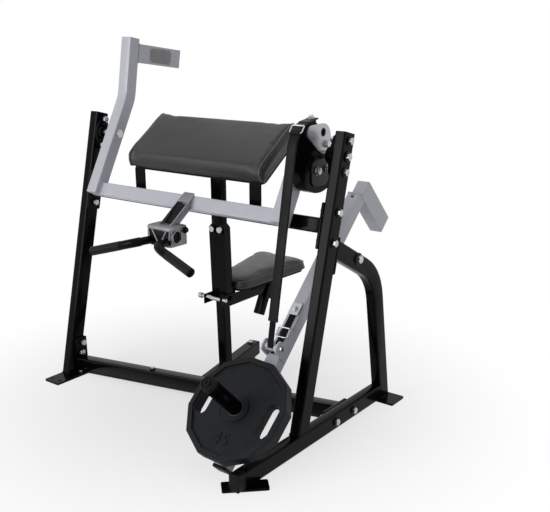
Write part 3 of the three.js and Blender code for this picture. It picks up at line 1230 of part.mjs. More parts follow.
const boardUnderZ = seatFront.z - (SEAT_BOARD_T + 2 * WELD_GAP) / Math.cos(seatTurn)
  + (STEM_TOP_Y - seatFront.y) * Math.tan(seatTurn);
const stemTop = yz(STEM_TOP_Y, boardUnderZ);
const stemLow = stemTop.clone().addScaledVector(stemAlong, -STEM_L);
mesh("seat_stem", boxTube(path(0, [stemLow, stemTop], 0, [null, seatUp]), STEM_W, STEM_D, ARM_WALL, ARM_ROUND),
  BLACK(), seat);
const sleeveTop = stemTop.clone().addScaledVector(stemAlong, -SEAT_SLEEVE_DROP);
const sleeveLow = sleeveTop.clone().addScaledVector(stemAlong, -SEAT_SLEEVE_L);
const sleeveW = STEM_W + 2 * (SLEEVE_WALL + RUN_GAP);
const sleeveD = STEM_D + 2 * (SLEEVE_WALL + RUN_GAP);
mesh("stem_sleeve", boxTube(path(0, [sleeveLow, sleeveTop]), sleeveW, sleeveD, SLEEVE_WALL, ARM_ROUND), BLACK());
const sleeveMid = sleeveLow.clone().lerp(sleeveTop, 1 / 2);
const carriageBack = columnFoot.y + Math.max(COLUMN_D, POLE_W) / 2 + RUN_GAP;
const stemPerp = yz(Math.cos(STEM_LEAN), -Math.sin(STEM_LEAN));
const inner = sleeveMid.clone().addScaledVector(stemPerp, -sleeveD / 2 - WELD_GAP);
const tubeZ = inner.z;
const sideX = COLUMN_W / 2 + WELD_GAP;
const sideFront = columnFoot.y - COLUMN_D / 2 - SIDE_AHEAD;
const sideBack = carriageBack + SIDE_REACH;
const sideShape = outline([
  [sideFront, SIDE_LOW_Z], [sideBack, SIDE_LOW_Z], [sideBack, SIDE_LOW_Z + SIDE_TAIL_H],
  [carriageBack, SIDE_LOW_Z + SIDE_H], [sideFront, SIDE_LOW_Z + SIDE_H],
]);
const pinAt = yz(sideFront + PIN_IN, SIDE_LOW_Z + SIDE_H - PIN_IN);
const backPlate = new THREE.BoxGeometry(2 * sideX, PLATE_T, SIDE_H)
  .translate(0, carriageBack + PLATE_T / 2, SIDE_LOW_Z + SIDE_H / 2);
const carriageBolt = (sign) => rodX(
  BOLT_HEAD_R, Math.min(sign * sideX, sign * (sideX + SIDE_T + BOLT_HEAD_H)),
  Math.max(sign * sideX, sign * (sideX + SIDE_T + BOLT_HEAD_H)), columnFoot.y, SIDE_LOW_Z + SIDE_H / 2, BOLT_SIDES,
);
mesh("seat_carriage", cut(join(
  sheetX(sideShape, sideX, sideX + SIDE_T), sheetX(sideShape, -sideX - SIDE_T, -sideX), backPlate,
  carriageBolt(1), carriageBolt(-1),
), rodX(PIN_R + WELD_GAP, -COLUMN_W, COLUMN_W, pinAt.y, pinAt.z)), BLACK());
mesh("pull_pin", join(
  rodX(PIN_R, -sideX - PIN_OUT, sideX + PIN_OUT, pinAt.y, pinAt.z),
  rodX(PIN_KNOB_R, -sideX - PIN_OUT - PIN_KNOB_L, -sideX - PIN_OUT, pinAt.y, pinAt.z),
), ZINC());
mesh("seat_carrier", boxTube(path(0, [
  yz(carriageBack + PLATE_T + WELD_GAP, tubeZ), inner,
], 0, [BACK, stemPerp]), ARM_TUBE_W, ARM_TUBE_H, ARM_WALL, ARM_ROUND), BLACK());

// the origin: middle of the bounds, on the floor
group.updateMatrixWorld(true);
const middle = new THREE.Box3().setFromObject(group, true).getCenter(new THREE.Vector3());
for (const child of group.children) child.position.sub(middle.setZ(0));

export default group;
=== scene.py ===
"""Studio scene of a plate-loaded seated biceps curl machine.

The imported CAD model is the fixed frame. Every class below dresses one sub-assembly: it smooths the
CAD solids it owns, adds the small pieces that show at close range, and gives each its finish.
Lengths are written in millimetres of the measuring frame and turned to metres by `place`.
"""

from __future__ import annotations

import json
import logging
import math
from dataclasses import dataclass, field
from enum import Enum
from typing import Any, Sequence

import bmesh
import bpy
import numpy as np
from mathutils import Matrix, Vector
from mathutils.bvhtree import BVHTree

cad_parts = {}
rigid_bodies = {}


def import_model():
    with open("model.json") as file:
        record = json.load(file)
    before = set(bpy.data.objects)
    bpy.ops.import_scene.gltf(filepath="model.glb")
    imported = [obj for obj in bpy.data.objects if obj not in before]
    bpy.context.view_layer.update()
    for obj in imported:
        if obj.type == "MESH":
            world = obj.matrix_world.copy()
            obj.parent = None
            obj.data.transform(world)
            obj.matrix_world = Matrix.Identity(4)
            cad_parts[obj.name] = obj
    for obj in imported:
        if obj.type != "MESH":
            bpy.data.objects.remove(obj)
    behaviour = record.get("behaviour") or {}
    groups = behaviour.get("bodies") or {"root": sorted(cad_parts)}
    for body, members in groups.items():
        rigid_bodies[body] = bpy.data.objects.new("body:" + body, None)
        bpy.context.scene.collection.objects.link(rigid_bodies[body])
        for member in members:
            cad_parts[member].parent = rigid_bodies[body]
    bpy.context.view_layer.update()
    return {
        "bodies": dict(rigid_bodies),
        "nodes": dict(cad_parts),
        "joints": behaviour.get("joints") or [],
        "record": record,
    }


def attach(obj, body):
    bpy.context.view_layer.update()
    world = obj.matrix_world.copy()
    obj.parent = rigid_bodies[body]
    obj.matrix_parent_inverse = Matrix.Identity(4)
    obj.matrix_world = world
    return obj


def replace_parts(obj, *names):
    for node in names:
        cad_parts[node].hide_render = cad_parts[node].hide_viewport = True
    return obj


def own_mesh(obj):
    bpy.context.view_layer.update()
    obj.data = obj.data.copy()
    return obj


LOG = logging.getLogger("curl_machine")
Array = np.ndarray
MM = 0.001
X_AXIS = np.array([1.0, 0, 0])
Y_AXIS = np.array([0, 1.0, 0])
Z_AXIS = np.array([0, 0, 1.0])
# The measuring frame's point that lies at the row frame's origin
MIDDLE = np.array([23.36, 213.01, 0.0])
# The turning axes of arm and lever, as (y, z)
PIVOT = (265.44, 955.0)
LEVER_PIVOT = (355.0, 603.0)
LEVER_TILT = math.radians(44.5)
POST_LEAN = math.radians(13.8)
POST_DEPTH = 60.0
POST_X = 570.0
ARM_LEAN = math.radians(29.0)
ARM_LEFT_X = -470.0
ARM_RIGHT_X = 415.0
ARM_DROP = 249.0
ARM_TUBE = 50.0
STRAP_X = 470.0
# The part of a plug, weld or seam that stands off the solid it sits on
PROUD = 0.3


# Geometry


def place(x: float | Array, y: float | Array, z: float | Array) -> Array:
    """Points of the measuring frame in millimetres, as row-frame metres.

    Args:
        x, y, z: coordinates, each a number or an array of one common shape.

    Returns:
        An array whose last axis holds the three coordinates.
    """
    return (np.stack(np.broadcast_arrays(x, y, z), -1).astype(float) - MIDDLE) * MM


def on_lever(x: float | Array, s: float | Array, n: float | Array) -> Array:
    """Points given along (s) and above (n) the weight lever, from its pivot.

    Formula: y = pivot + s cos(tilt) - n sin(tilt), z = pivot + s sin(tilt) + n cos(tilt).
    """
    c, t = math.cos(LEVER_TILT), math.sin(LEVER_TILT)
    s, n = np.asarray(s, float), np.asarray(n, float)
    return place(x, LEVER_PIVOT[0] + s * c - n * t, LEVER_PIVOT[1] + s * t + n * c)


def unit(vector: Sequence[float]) -> Array:
    """The vector at length one."""
    v = np.asarray(vector, float)
    return v / np.linalg.norm(v)


def across(axis: Sequence[float]) -> tuple[Array, Array]:
    """Two unit vectors that make a right-handed set with the axis."""
    a = unit(axis)
    seed = Z_AXIS if abs(a[2]) < 0.9 else X_AXIS
    side = unit(np.cross(seed, a))
    return side, np.cross(a, side)


def turns(steps: int) -> Array:
    """Evenly spaced angles of one full turn, its end left out."""
    return np.linspace(0, 2 * np.pi, steps, endpoint=False)


def spokes(side: Array, up: Array, steps: int) -> Array:
    """Unit vectors all round an axis.

    Formula: cos a side + sin a up for evenly spaced angles a.
    """
    a = turns(steps)[:, None]
    return np.cos(a) * side + np.sin(a) * up


def hexagon_share(angle: Array) -> Array:
    """How far a hexagon's outline lies from its middle, with its flats at one."""
    return 1 / np.cos((angle + np.pi / 6) % (np.pi / 3) - np.pi / 6)


def directions(path: Array, closed: bool = False) -> Array:
    """Unit tangents of a run of points."""
    way = np.roll(path, -1, 0) - np.roll(path, 1, 0) if closed else np.gradient(path, axis=0)
    return way / np.maximum(np.linalg.norm(way, axis=1, keepdims=True), 1e-12)


def lever_axes() -> tuple[Array, Array]:
    """The directions up along the weight lever and square above it."""
    origin = on_lever(0, 0, 0)
    return unit(on_lever(0, 1, 0) - origin), unit(on_lever(0, 0, 1) - origin)


def rounded_rect(width: float, height: float, radius: float, steps: int = 4) -> Array:
    """A rectangle's outline with quarter-circle corners, counter-clockwise from +X.

    Formula: each corner's centre plus radius times (cos, sin) over its quarter turn.
    """
    turn = np.linspace(0, np.pi / 2, steps + 1)
    start = np.repeat(np.arange(4), steps + 1) * np.pi / 2
    angle = np.tile(turn, 4) + start
    sx = np.repeat([1, -1, -1, 1], steps + 1) * (width / 2 - radius)
    sy = np.repeat([1, 1, -1, -1], steps + 1) * (height / 2 - radius)
    return np.stack([sx + radius * np.cos(angle), sy + radius * np.sin(angle)], -1)


@dataclass
class Shell:
    """Gathers surfaces into one mesh.

    Attributes:
        points: blocks of vertices.
        faces: faces by vertex number.
        uvs: blocks of surface coordinates, one pair for each vertex.
        count: how many vertices there are so far.
    """

    points: list[Array] = field(default_factory=list)
    faces: list[tuple[int, ...]] = field(default_factory=list)
    uvs: list[Array] = field(default_factory=list)
    count: int = 0

    def grid(self, grid: Array, loop: bool = False) -> "Shell":
        """Adds a surface through a (rows, columns, 3) grid of points; the last column meets the first.

        Args:
            grid: the points in metres.
            loop: the last row meets the first; otherwise fans about their middles close both rows.

        Returns:
            The shell, so calls chain.
        """
        rows, cols = grid.shape[:2]
        index = np.arange(rows * cols).reshape(rows, cols) + self.count
        down = np.roll(index, -1, 0) if loop else index[1:]
        top = index if loop else index[:-1]
        quads = np.stack([top, np.roll(top, -1, 1), np.roll(down, -1, 1), down], -1)
        self.faces += [tuple(q) for q in quads.reshape(-1, 4).tolist()]
        v = np.concatenate([[0], np.cumsum(np.linalg.norm(np.diff(grid.mean(1), axis=0), axis=1))])
        side = np.linalg.norm(np.diff(grid, axis=1), axis=2).mean(0)
        u = np.concatenate([[0], np.cumsum(side)])
        self.uvs.append(np.stack(np.meshgrid(u, v), -1).reshape(-1, 2))
        self.points.append(grid.reshape(-1, 3))
        self.count += rows * cols
        if not loop:
            for row, flip in ((0, True), (rows - 1, False)):
                middle = grid[row].mean(0)
                edge = index[row]
                fan = np.stack([edge, np.roll(edge, -1), np.full(cols, self.count)], -1)
                fan = fan[:, ::-1] if flip else fan
                self.faces += [tuple(f) for f in fan.tolist()]
                self.points.append(middle[None])
                self.uvs.append(np.zeros((1, 2)))
                self.count += 1
        return self

    def revolve(self, profile: Sequence[Sequence[float]], origin: Array, axis: Sequence[float],
                steps: int = 32, loop: bool = False) -> "Shell":
        """Adds a turned form.

        Formula: origin + h axis + r (cos a, sin a) for each (r, h) of the profile, in millimetres.
        """
        p = np.asarray(profile, float) * MM
        ring = spokes(*across(axis), steps)
        grid = origin + p[:, 1, None, None] * unit(axis) + p[:, 0, None, None] * ring[None]
        return self.grid(grid, loop=loop)

    def hexagon(self, across_flats: float, height: float, origin: Array, axis: Sequence[float],
                turn: float = 0.0) -> "Shell":
        """Adds a hexagon head or nut with its corners turned off.

        Formula: the radius is the smaller of a hexagon's, flat / cos(angle to the nearest flat), and a
        cone's, which falls over the chamfer.
        """
        steps, flat = 48, across_flats / 2
        h = np.array([0, 0.12, 0.76, 0.85, 0.93, 1.0]) * height
        cone = np.array([1.16, 1.16, 1.16, 1.08, 1.0, 0.9]) * flat
        radius = np.minimum(flat * hexagon_share(turns(steps) + turn)[None], cone[:, None])
        ring = spokes(*across(axis), steps)
        grid = origin + (h[:, None, None] * unit(axis) + radius[..., None] * ring) * MM
        return self.grid(grid)

    def sweep(self, path: Array, profile: Array, side: Array, up: Array, loop: bool = False) -> "Shell":
        """Adds a profile carried along a path.

        Formula: path + a side + b up for each (a, b) of the profile; all in metres.
        """
        side = np.broadcast_to(side, path.shape)[:, None]
        up = np.broadcast_to(up, path.shape)[:, None]
        grid = path[:, None] + profile[None, :, 0, None] * side + profile[None, :, 1, None] * up
        return self.grid(grid, loop=loop)

    def many(self, grids: Array) -> "Shell":
        """Adds closed copies of a small surface, its first and last rows closed by one face each.

        Args:
            grids: (copies, rows, columns, 3) points in metres.

        Returns:
            The shell.
        """
        n, rows, cols = grids.shape[:3]
        index = np.arange(n * rows * cols).reshape(n, rows, cols) + self.count
        top, down = index[:, :-1], index[:, 1:]
        quads = np.stack([top, np.roll(top, -1, 2), np.roll(down, -1, 2), down], -1).reshape(-1, 4)
        ends = np.concatenate([index[:, 0, ::-1], index[:, -1]])
        self.faces += [tuple(q) for q in quads.tolist()] + [tuple(e) for e in ends.tolist()]
        self.points.append(grids.reshape(-1, 3))
        self.uvs.append(np.zeros((grids.size // 3, 2)))
        self.count += grids.size // 3
        return self

    def tube(self, path: Array, radius: float, sides: int = 28, dome: float = 0.0) -> "Shell":
        """Adds a round bar along a path.

        Formula: each point plus radius (cos a side + sin a up), with the up direction as near +Z as the
        tangent allows; domed ends add points where the radius falls with cos and the reach grows with sin.

        Args:
            path: points in metres.
            radius: in millimetres.
            sides: facets round the bar.
            dome: height of the rounded ends in millimetres.

        Returns:
            The shell.
        """
        tangent = directions(path)
        scale = np.ones(len(path))
        if dome:
            a = np.linspace(0, np.pi / 2, 6)[1:]
            reach, shrink = np.sin(a) * dome * MM, np.maximum(np.cos(a), 0.04)
            head = path[0] - tangent[0] * reach[::-1, None]
            tail = path[-1] + tangent[-1] * reach[:, None]
            path = np.concatenate([head, path, tail])
            tangent = np.concatenate([np.repeat(tangent[:1], 5, 0), tangent, np.repeat(tangent[-1:], 5, 0)])
            scale = np.concatenate([shrink[::-1], scale, shrink])
        seed = Z_AXIS if abs(tangent[len(path) // 2][2]) < 0.9 else X_AXIS
        side = np.cross(tangent, seed)
        side /= np.linalg.norm(side, axis=1, keepdims=True)
        up = np.cross(side, tangent)
        a = turns(sides)[None, :, None]
        ring = np.cos(a) * side[:, None] + np.sin(a) * up[:, None]
        return self.grid(path[:, None] + radius * MM * scale[:, None, None] * ring)

    def band(self, path: Array, width: float, thick: float) -> "Shell":
        """Adds a flat band with rounded edges along a path in a plane of constant x.

        Formula: a rounded rectangle whose long way is +X and whose short way is the path's normal.
        """
        ring = rounded_rect(width, thick, thick * 0.49) * MM
        return self.sweep(path, ring, X_AXIS, np.cross(directions(path), X_AXIS))

    def wire(self, middle: Array, down: Array, normal: Array, size: tuple[float, float, float],
             section: tuple[float, float]) -> "Shell":
        """Adds a rectangular ring of bent wire.

        Formula: an ellipse carried round a rounded rectangle that spans +X and the down direction.

        Args:
            middle: the ring's middle in metres.
            down, normal: the ring's second direction and the one square to its plane.
            size: width, height and corner radius in millimetres.
            section: the wire's half sizes in and square to the plane, in millimetres.

        Returns:
            The shell.
        """
        corners = rounded_rect(*size, 5) * MM
        path = middle + corners[:, :1] * X_AXIS + corners[:, 1:] * down
        a = turns(12)
        profile = np.stack([np.cos(a) * section[0], np.sin(a) * section[1]], -1) * MM
        return self.sweep(path, profile, np.cross(directions(path, closed=True), normal), normal, loop=True)

    def stitches(self, path: Array, normal: Array, length: float = 4.2, gap: float = 1.6,
                 radius: float = 0.55) -> "Shell":
        """Adds a run of thread stitches that lie on a surface.

        Formula: every stitch is a thin bar along the run; its radius falls as sqrt(1 - t^4) and it arches
        off the surface by (1 - t^2).

        Args:
            path: the run in metres.
            normal: surface normals, one for all or one for each point.
            length: of one stitch, in millimetres.
            gap: between stitches.
            radius: of the thread.

        Returns:
            The shell.
        """
        step = np.linalg.norm(np.diff(path, axis=0), axis=1)
        along = np.concatenate([[0], np.cumsum(step)])
        count = max(int(along[-1] / ((length + gap) * MM)), 1)
        normal = np.broadcast_to(normal, path.shape)
        t = np.array([-1.0, -0.75, -0.3, 0.3, 0.75, 1.0])
        at = (np.arange(count) + 0.5)[:, None] * (length + gap) * MM + t * length / 2 * MM
        mid = np.stack([np.interp(at, along, path[:, k]) for k in range(3)], -1)
        up = np.stack([np.interp(at, along, normal[:, k]) for k in range(3)], -1)
        run = mid[:, -1:] - mid[:, :1]
        run = run / np.maximum(np.linalg.norm(run, axis=-1, keepdims=True), 1e-12)
        side = np.cross(run, up)
        mid = mid + up * ((1 - t**2) * radius * MM)[None, :, None]
        size = radius * MM * np.maximum(np.sqrt(1 - t**4), 0.2)
        a = turns(6)
        ring = np.cos(a)[:, None] * side[:, :, None] + np.sin(a)[:, None] * up[:, :, None]
        return self.many(mid[:, :, None] + size[None, :, None, None] * ring)

    def build(self, name: str, material: bpy.types.Material, body: str, slot: str,
              sharp: float = 40.0) -> bpy.types.Object:
        """Makes the object, turns its faces outwards and lets it ride on a body.

        Args:
            name: the piece's name.
            material: its finish.
            body: the CAD body it moves with.
            slot: the record's material slot; not used.
            sharp: the angle in degrees above which an edge stays sharp.

        Returns:
            The object, at the origin.
        """
        mesh = bpy.data.meshes.new(name)
        mesh.from_pydata(np.concatenate(self.points).tolist(), [], self.faces)
        layer = mesh.uv_layers.new(name="UVMap")
        loops = np.zeros(len(mesh.loops), np.int32)
        mesh.loops.foreach_get("vertex_index", loops)
        layer.data.foreach_set("uv", np.concatenate(self.uvs)[loops].astype(np.float32).ravel())
        work = bmesh.new()
        work.from_mesh(mesh)
        bmesh.ops.recalc_face_normals(work, faces=work.faces)
        work.to_mesh(mesh)
        work.free()
        return adopt(name, mesh, material, body, sharp)


def adopt(name: str, mesh: bpy.types.Mesh, material: bpy.types.Material, body: str,
          sharp: float = 40.0) -> bpy.types.Object:
    """Links a mesh as a shown piece that rides on a body.

    Returns:
        The new object.
    """
    mesh.polygons.foreach_set("use_smooth", np.ones(len(mesh.polygons), bool))
    mesh.set_sharp_from_angle(angle=math.radians(sharp))
    obj = bpy.data.objects.new(name, mesh)
    bpy.context.scene.collection.objects.link(obj)
    mesh.materials.append(material)
    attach(obj, body)
    LOG.info("piece %s on %s", name, body)
    return obj


def smooth_copy(node: str, material: bpy.types.Material, body: str, bevel: float = 0.6,
                sharp: float = 28.0) -> bpy.types.Object:
    """A welded copy of a CAD node with softened edges, standing for that node.

    Args:
        node: the CAD node.
        material: its finish.
        body: the body it rides on.
        bevel: the width of the softened edges in millimetres, or 0.
        sharp: the angle in degrees above which an edge counts as one.

    Returns:
        The copy.
    """
    source = FRAME["nodes"][node].data
    work = bmesh.new()
    work.from_mesh(source)
    bmesh.ops.remove_doubles(work, verts=work.verts, dist=1e-6)
    bmesh.ops.dissolve_limit(work, angle_limit=math.radians(0.5), verts=work.verts, edges=work.edges)
    mesh = bpy.data.meshes.new(f"{node}_skin")
    work.to_mesh(mesh)
    work.free()
    obj = adopt(f"{node}_skin", mesh, material, body, sharp)
    if bevel:
        edge = obj.modifiers.new("soft edges", "BEVEL")
        edge.width = bevel * MM
        edge.segments = 2
        edge.limit_method = "ANGLE"
        edge.angle_limit = math.radians(sharp)
        edge.harden_normals = True
    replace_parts(obj, node)
    return obj


# Finishes


class Group:
    """A shader node group in the making, with short helpers for its nodes and links."""

    def __init__(self, name: str, inputs: dict[str, float], outputs: dict[str, str]) -> None:
        """Makes the group and its sockets.

        Args:
            name: the group's name.
            inputs: float inputs and their defaults.
            outputs: output names and socket types.
        """
        self.tree = bpy.data.node_groups.new(name, "ShaderNodeTree")
        for key, value in inputs.items():
            socket = self.tree.interface.new_socket(key, in_out="INPUT", socket_type="NodeSocketFloat")
            socket.default_value = value
        for key, kind in outputs.items():
            self.tree.interface.new_socket(key, in_out="OUTPUT", socket_type=kind)
        self.start = self.tree.nodes.new("NodeGroupInput")
        self.end = self.tree.nodes.new("NodeGroupOutput")

    def node(self, kind: str, **settings: object) -> bpy.types.ShaderNode:
        """A node of the kind with the given settings; names that are inputs set those."""
        return make_node(self.tree, kind, **settings)

    def link(self, source: bpy.types.NodeSocket, target: bpy.types.NodeSocket) -> None:
        """Joins two sockets."""
        self.tree.links.new(source, target)


def make_node(tree: bpy.types.NodeTree, kind: str, **settings: object) -> bpy.types.ShaderNode:
    """Adds a node; a setting is an attribute where the node has one, and else an input.

    Returns:
        The node.
    """
    node = tree.nodes.new(f"ShaderNode{kind}")
    for key, value in settings.items():
        if hasattr(node, key):
            setattr(node, key, value)
        else:
            node.inputs[key.replace("_", " ")].default_value = value
    return node


def math_node(tree: bpy.types.NodeTree, operation: str, a: object, b: object = 0.0,
              clamp: bool = False) -> bpy.types.NodeSocket:
    """The result of an operation on two sockets or numbers."""
    node = tree.nodes.new("ShaderNodeMath")
    node.operation = operation
    node.use_clamp = clamp
    for socket, value in zip(node.inputs, (a, b)):
        if isinstance(value, bpy.types.NodeSocket):
            tree.links.new(value, socket)
        else:
            socket.default_value = value
    return node.outputs[0]


def speckle_group() -> bpy.types.NodeTree:
    """Fine grain and slow blotches from two noises on object coordinates."""
    g = Group("speckle", {"Grain size": 0.0008, "Blotch size": 0.05},
              {"Grain": "NodeSocketFloat", "Blotch": "NodeSocketFloat"})
    where = g.node("TexCoord")
    for key, size, detail in (("Grain", "Grain size", 2.0), ("Blotch", "Blotch size", 5.0)):
        noise = g.node("TexNoise", Detail=detail, Roughness=0.6)
        g.link(math_node(g.tree, "DIVIDE", 1.0, g.start.outputs[size]), noise.inputs["Scale"])
        g.link(where.outputs["Object"], noise.inputs["Vector"])
        g.link(noise.outputs[0], g.end.inputs[key])
    return g.tree


def edge_group() -> bpy.types.NodeTree:
    """Worn edges: where the rounded normal parts from the true one, broken up by noise."""
    g = Group("edge_wear", {"Width": 0.002, "Amount": 0.6}, {"Mask": "NodeSocketFloat"})
    bevel = g.node("Bevel", samples=4)
    g.link(g.start.outputs["Width"], bevel.inputs["Radius"])
    true = g.node("NewGeometry")
    dot = g.node("VectorMath", operation="DOT_PRODUCT")
    g.link(bevel.outputs[0], dot.inputs[0])
    g.link(true.outputs["Normal"], dot.inputs[1])
    part = math_node(g.tree, "SUBTRACT", 1.0, dot.outputs["Value"], clamp=True)
    where = g.node("TexCoord")
    noise = g.node("TexNoise", Scale=120.0, Detail=4.0)
    g.link(where.outputs["Object"], noise.inputs["Vector"])
    broken = math_node(g.tree, "MULTIPLY", math_node(g.tree, "POWER", noise.outputs[0], 2.0), 14.0)
    mask = math_node(g.tree, "MULTIPLY", part, broken, clamp=True)
    g.link(math_node(g.tree, "MULTIPLY", mask, g.start.outputs["Amount"], clamp=True), g.end.inputs["Mask"])
    return g.tree


def weave_group() -> bpy.types.NodeTree:
    """A twill weave on the piece's own UV map, in metres: two crossed waves in steps."""
    g = Group("weave", {"Thread": 0.0011}, {"Height": "NodeSocketFloat"})
    uv = g.node("UVMap", uv_map="UVMap")
    apart = g.node("SeparateXYZ")
    g.link(uv.outputs[0], apart.inputs[0])
    rate = math_node(g.tree, "DIVIDE", math.pi, g.start.outputs["Thread"])
    u = math_node(g.tree, "MULTIPLY", apart.outputs[0], rate)
    v = math_node(g.tree, "MULTIPLY", apart.outputs[1], rate)
    one = math_node(g.tree, "ABSOLUTE", math_node(g.tree, "SINE", math_node(g.tree, "ADD", u, v)))
    two = math_node(g.tree, "ABSOLUTE", math_node(g.tree, "SINE", math_node(g.tree, "SUBTRACT", u, v)))
    g.link(math_node(g.tree, "MAXIMUM", one, two), g.end.inputs["Height"])
    return g.tree


def leather_group() -> bpy.types.NodeTree:
    """Moulded vinyl grain: cells of a Voronoi pattern with soft creases between them."""
    g = Group("leather", {"Cell": 0.0016}, {"Height": "NodeSocketFloat"})
    where = g.node("TexCoord")
    cells = g.node("TexVoronoi", feature="DISTANCE_TO_EDGE", Randomness=0.9)
    g.link(math_node(g.tree, "DIVIDE", 1.0, g.start.outputs["Cell"]), cells.inputs["Scale"])
    g.link(where.outputs["Object"], cells.inputs["Vector"])
    g.link(math_node(g.tree, "MINIMUM", math_node(g.tree, "MULTIPLY", cells.outputs[0], 3.0), 1.0),
           g.end.inputs["Height"])
    return g.tree


class Relief(Enum):
    """Which small relief a finish carries; the value names its node group."""

    ORANGE_PEEL = "speckle"
    WEAVE = "weave"
    LEATHER = "leather"


@dataclass(frozen=True)
class Finish:
    """One finish of the machine.

    Attributes:
        name: the material's name.
        color: its base colour, linear.
        rough: roughness between the two values over the blotches.
        metal: metallic.
        coat: coat weight.
        shine: specular level, 0.5 for a common plastic or paint.
        wear: amount of edge wear.
        worn: colour of worn edges.
        relief: the kind of relief.
        depth: its height in metres.
        grain: grain size in metres.
        mottle: share by which the colour varies.
    """

    name: str
    color: tuple[float, float, float]
    rough: tuple[float, float] = (0.3, 0.4)
    metal: float = 0.0
    coat: float = 0.0
    shine: float = 0.5
    wear: float = 0.0
    worn: tuple[float, float, float] = (0.4, 0.4, 0.42)
    relief: Relief = Relief.ORANGE_PEEL
    depth: float = 0.00003
    grain: float = 0.0012
    mottle: float = 0.08

    def build(self) -> bpy.types.Material:
        """The material with its node tree.

        Returns:
            The material.
        """
        material = bpy.data.materials.new(self.name)
        material.use_nodes = True
        tree = material.node_tree
        shader = tree.nodes["Principled BSDF"]
        for socket, value in (("Metallic", self.metal), ("Coat Weight", self.coat), ("Coat Roughness", 0.08),
                              ("Specular IOR Level", self.shine)):
            shader.inputs[socket].default_value = value
        speckle = make_node(tree, "Group", node_tree=GROUPS["speckle"])
        speckle.inputs["Grain size"].default_value = self.grain
        tone = make_node(tree, "MixRGB")
        dark, light = (tuple(c * k for c in self.color) + (1.0,) for k in (1 - self.mottle, 1 + self.mottle))
        tone.inputs[1].default_value, tone.inputs[2].default_value = dark, light
        tree.links.new(speckle.outputs["Blotch"], tone.inputs[0])
        colour = tone.outputs[0]
        if self.wear:
            edge = make_node(tree, "Group", node_tree=GROUPS["edge_wear"])
            edge.inputs["Amount"].default_value = self.wear
            worn = make_node(tree, "MixRGB")
            worn.inputs[2].default_value = (*self.worn, 1.0)
            tree.links.new(edge.outputs["Mask"], worn.inputs[0])
            tree.links.new(colour, worn.inputs[1])
            colour = worn.outputs[0]
        tree.links.new(colour, shader.inputs["Base Color"])
        spread = make_node(tree, "MapRange")
        spread.inputs["From Min"].default_value, spread.inputs["From Max"].default_value = 0.3, 0.7
        spread.inputs["To Min"].default_value, spread.inputs["To Max"].default_value = self.rough
        tree.links.new(speckle.outputs["Blotch"], spread.inputs["Value"])
        tree.links.new(spread.outputs[0], shader.inputs["Roughness"])
        bump = make_node(tree, "Bump", Distance=self.depth, Strength=1.0)
        if self.relief is Relief.ORANGE_PEEL:
            height = speckle.outputs["Grain"]
        else:
            height = make_node(tree, "Group", node_tree=GROUPS[self.relief.value]).outputs[0]
        tree.links.new(height, bump.inputs["Height"])
        tree.links.new(bump.outputs[0], shader.inputs["Normal"])
        return material


FINISHES = {
    "black": Finish("gloss_black_paint", (0.002, 0.002, 0.0027), (0.14, 0.22), coat=0.03, shine=0.05,
                    wear=0.3, worn=(0.05, 0.05, 0.056), depth=0.00002, grain=0.002, mottle=0.2),
    "silver": Finish("silver_powder_coat", (0.53, 0.54, 0.6), (0.36, 0.48), metal=0.1, coat=0.05, shine=0.3,
                     wear=0.3, worn=(0.76, 0.76, 0.8), depth=0.00002, grain=0.0007, mottle=0.05),
    "machined": Finish("machined_steel", (0.48, 0.48, 0.5), (0.26, 0.42), metal=0.75, shine=0.4, wear=0.5,
                       worn=(0.2, 0.2, 0.21), depth=0.00006, grain=0.0011, mottle=0.15),
    "casting": Finish("cast_silver", (0.27, 0.27, 0.285), (0.36, 0.52), metal=0.55, shine=0.3, wear=0.9,
                      worn=(0.7, 0.7, 0.72), depth=0.00012, grain=0.0012, mottle=0.2),
    "grey": Finish("grey_steel", (0.022, 0.022, 0.025), (0.35, 0.5), metal=0.2, shine=0.2, wear=0.4),
    "zinc": Finish("zinc_plate", (0.46, 0.47, 0.49), (0.2, 0.36), metal=1.0, depth=0.00001, grain=0.0006,
                   mottle=0.15),
    "rubber": Finish("plate_rubber", (0.006, 0.0075, 0.0098), (0.5, 0.68), shine=0.16, depth=0.0001,
                     grain=0.0014, wear=0.5, worn=(0.035, 0.04, 0.048), mottle=0.25),
    "vinyl": Finish("charcoal_vinyl", (0.0112, 0.0122, 0.0136), (0.3, 0.4), shine=0.42, relief=Relief.LEATHER,
                    depth=0.00016, mottle=0.2),
    "piping": Finish("vinyl_piping", (0.045, 0.048, 0.053), (0.26, 0.36), shine=0.5, relief=Relief.LEATHER,
                     depth=0.00008),
    "plywood": Finish("black_plywood", (0.008, 0.007, 0.006), (0.6, 0.8), shine=0.15, depth=0.0001,
                      grain=0.003, mottle=0.3),
    "webbing": Finish("black_webbing", (0.006, 0.006, 0.007), (0.7, 0.85), shine=0.12, relief=Relief.WEAVE,
                      depth=0.0003, mottle=0.25),
    "sleeve": Finish("black_sleeve", (0.0035, 0.0035, 0.0045), (0.4, 0.55), shine=0.12, depth=0.00008,
                     grain=0.0025, mottle=0.25),
    "thread": Finish("grey_thread", (0.03, 0.03, 0.034), (0.7, 0.8), shine=0.2, depth=0.0001, grain=0.0005),
    "grip": Finish("grip_rubber", (0.003, 0.003, 0.0036), (0.42, 0.55), shine=0.14, depth=0.00006,
                   grain=0.0008, mottle=0.2),
    "plastic": Finish("black_plastic", (0.0025, 0.0025, 0.003), (0.36, 0.5), shine=0.12, depth=0.00004,
                      grain=0.0009, mottle=0.2),
    "placard": Finish("bare_placard", (0.2, 0.2, 0.205), (0.35, 0.5), metal=0.3, depth=0.00004, grain=0.0016,
                      mottle=0.25),
}
GROUPS: dict[str, bpy.types.NodeTree] = {}
PAINT: dict[str, bpy.types.Material] = {}
FRAME: dict[str, Any] = {}


# Small hardware


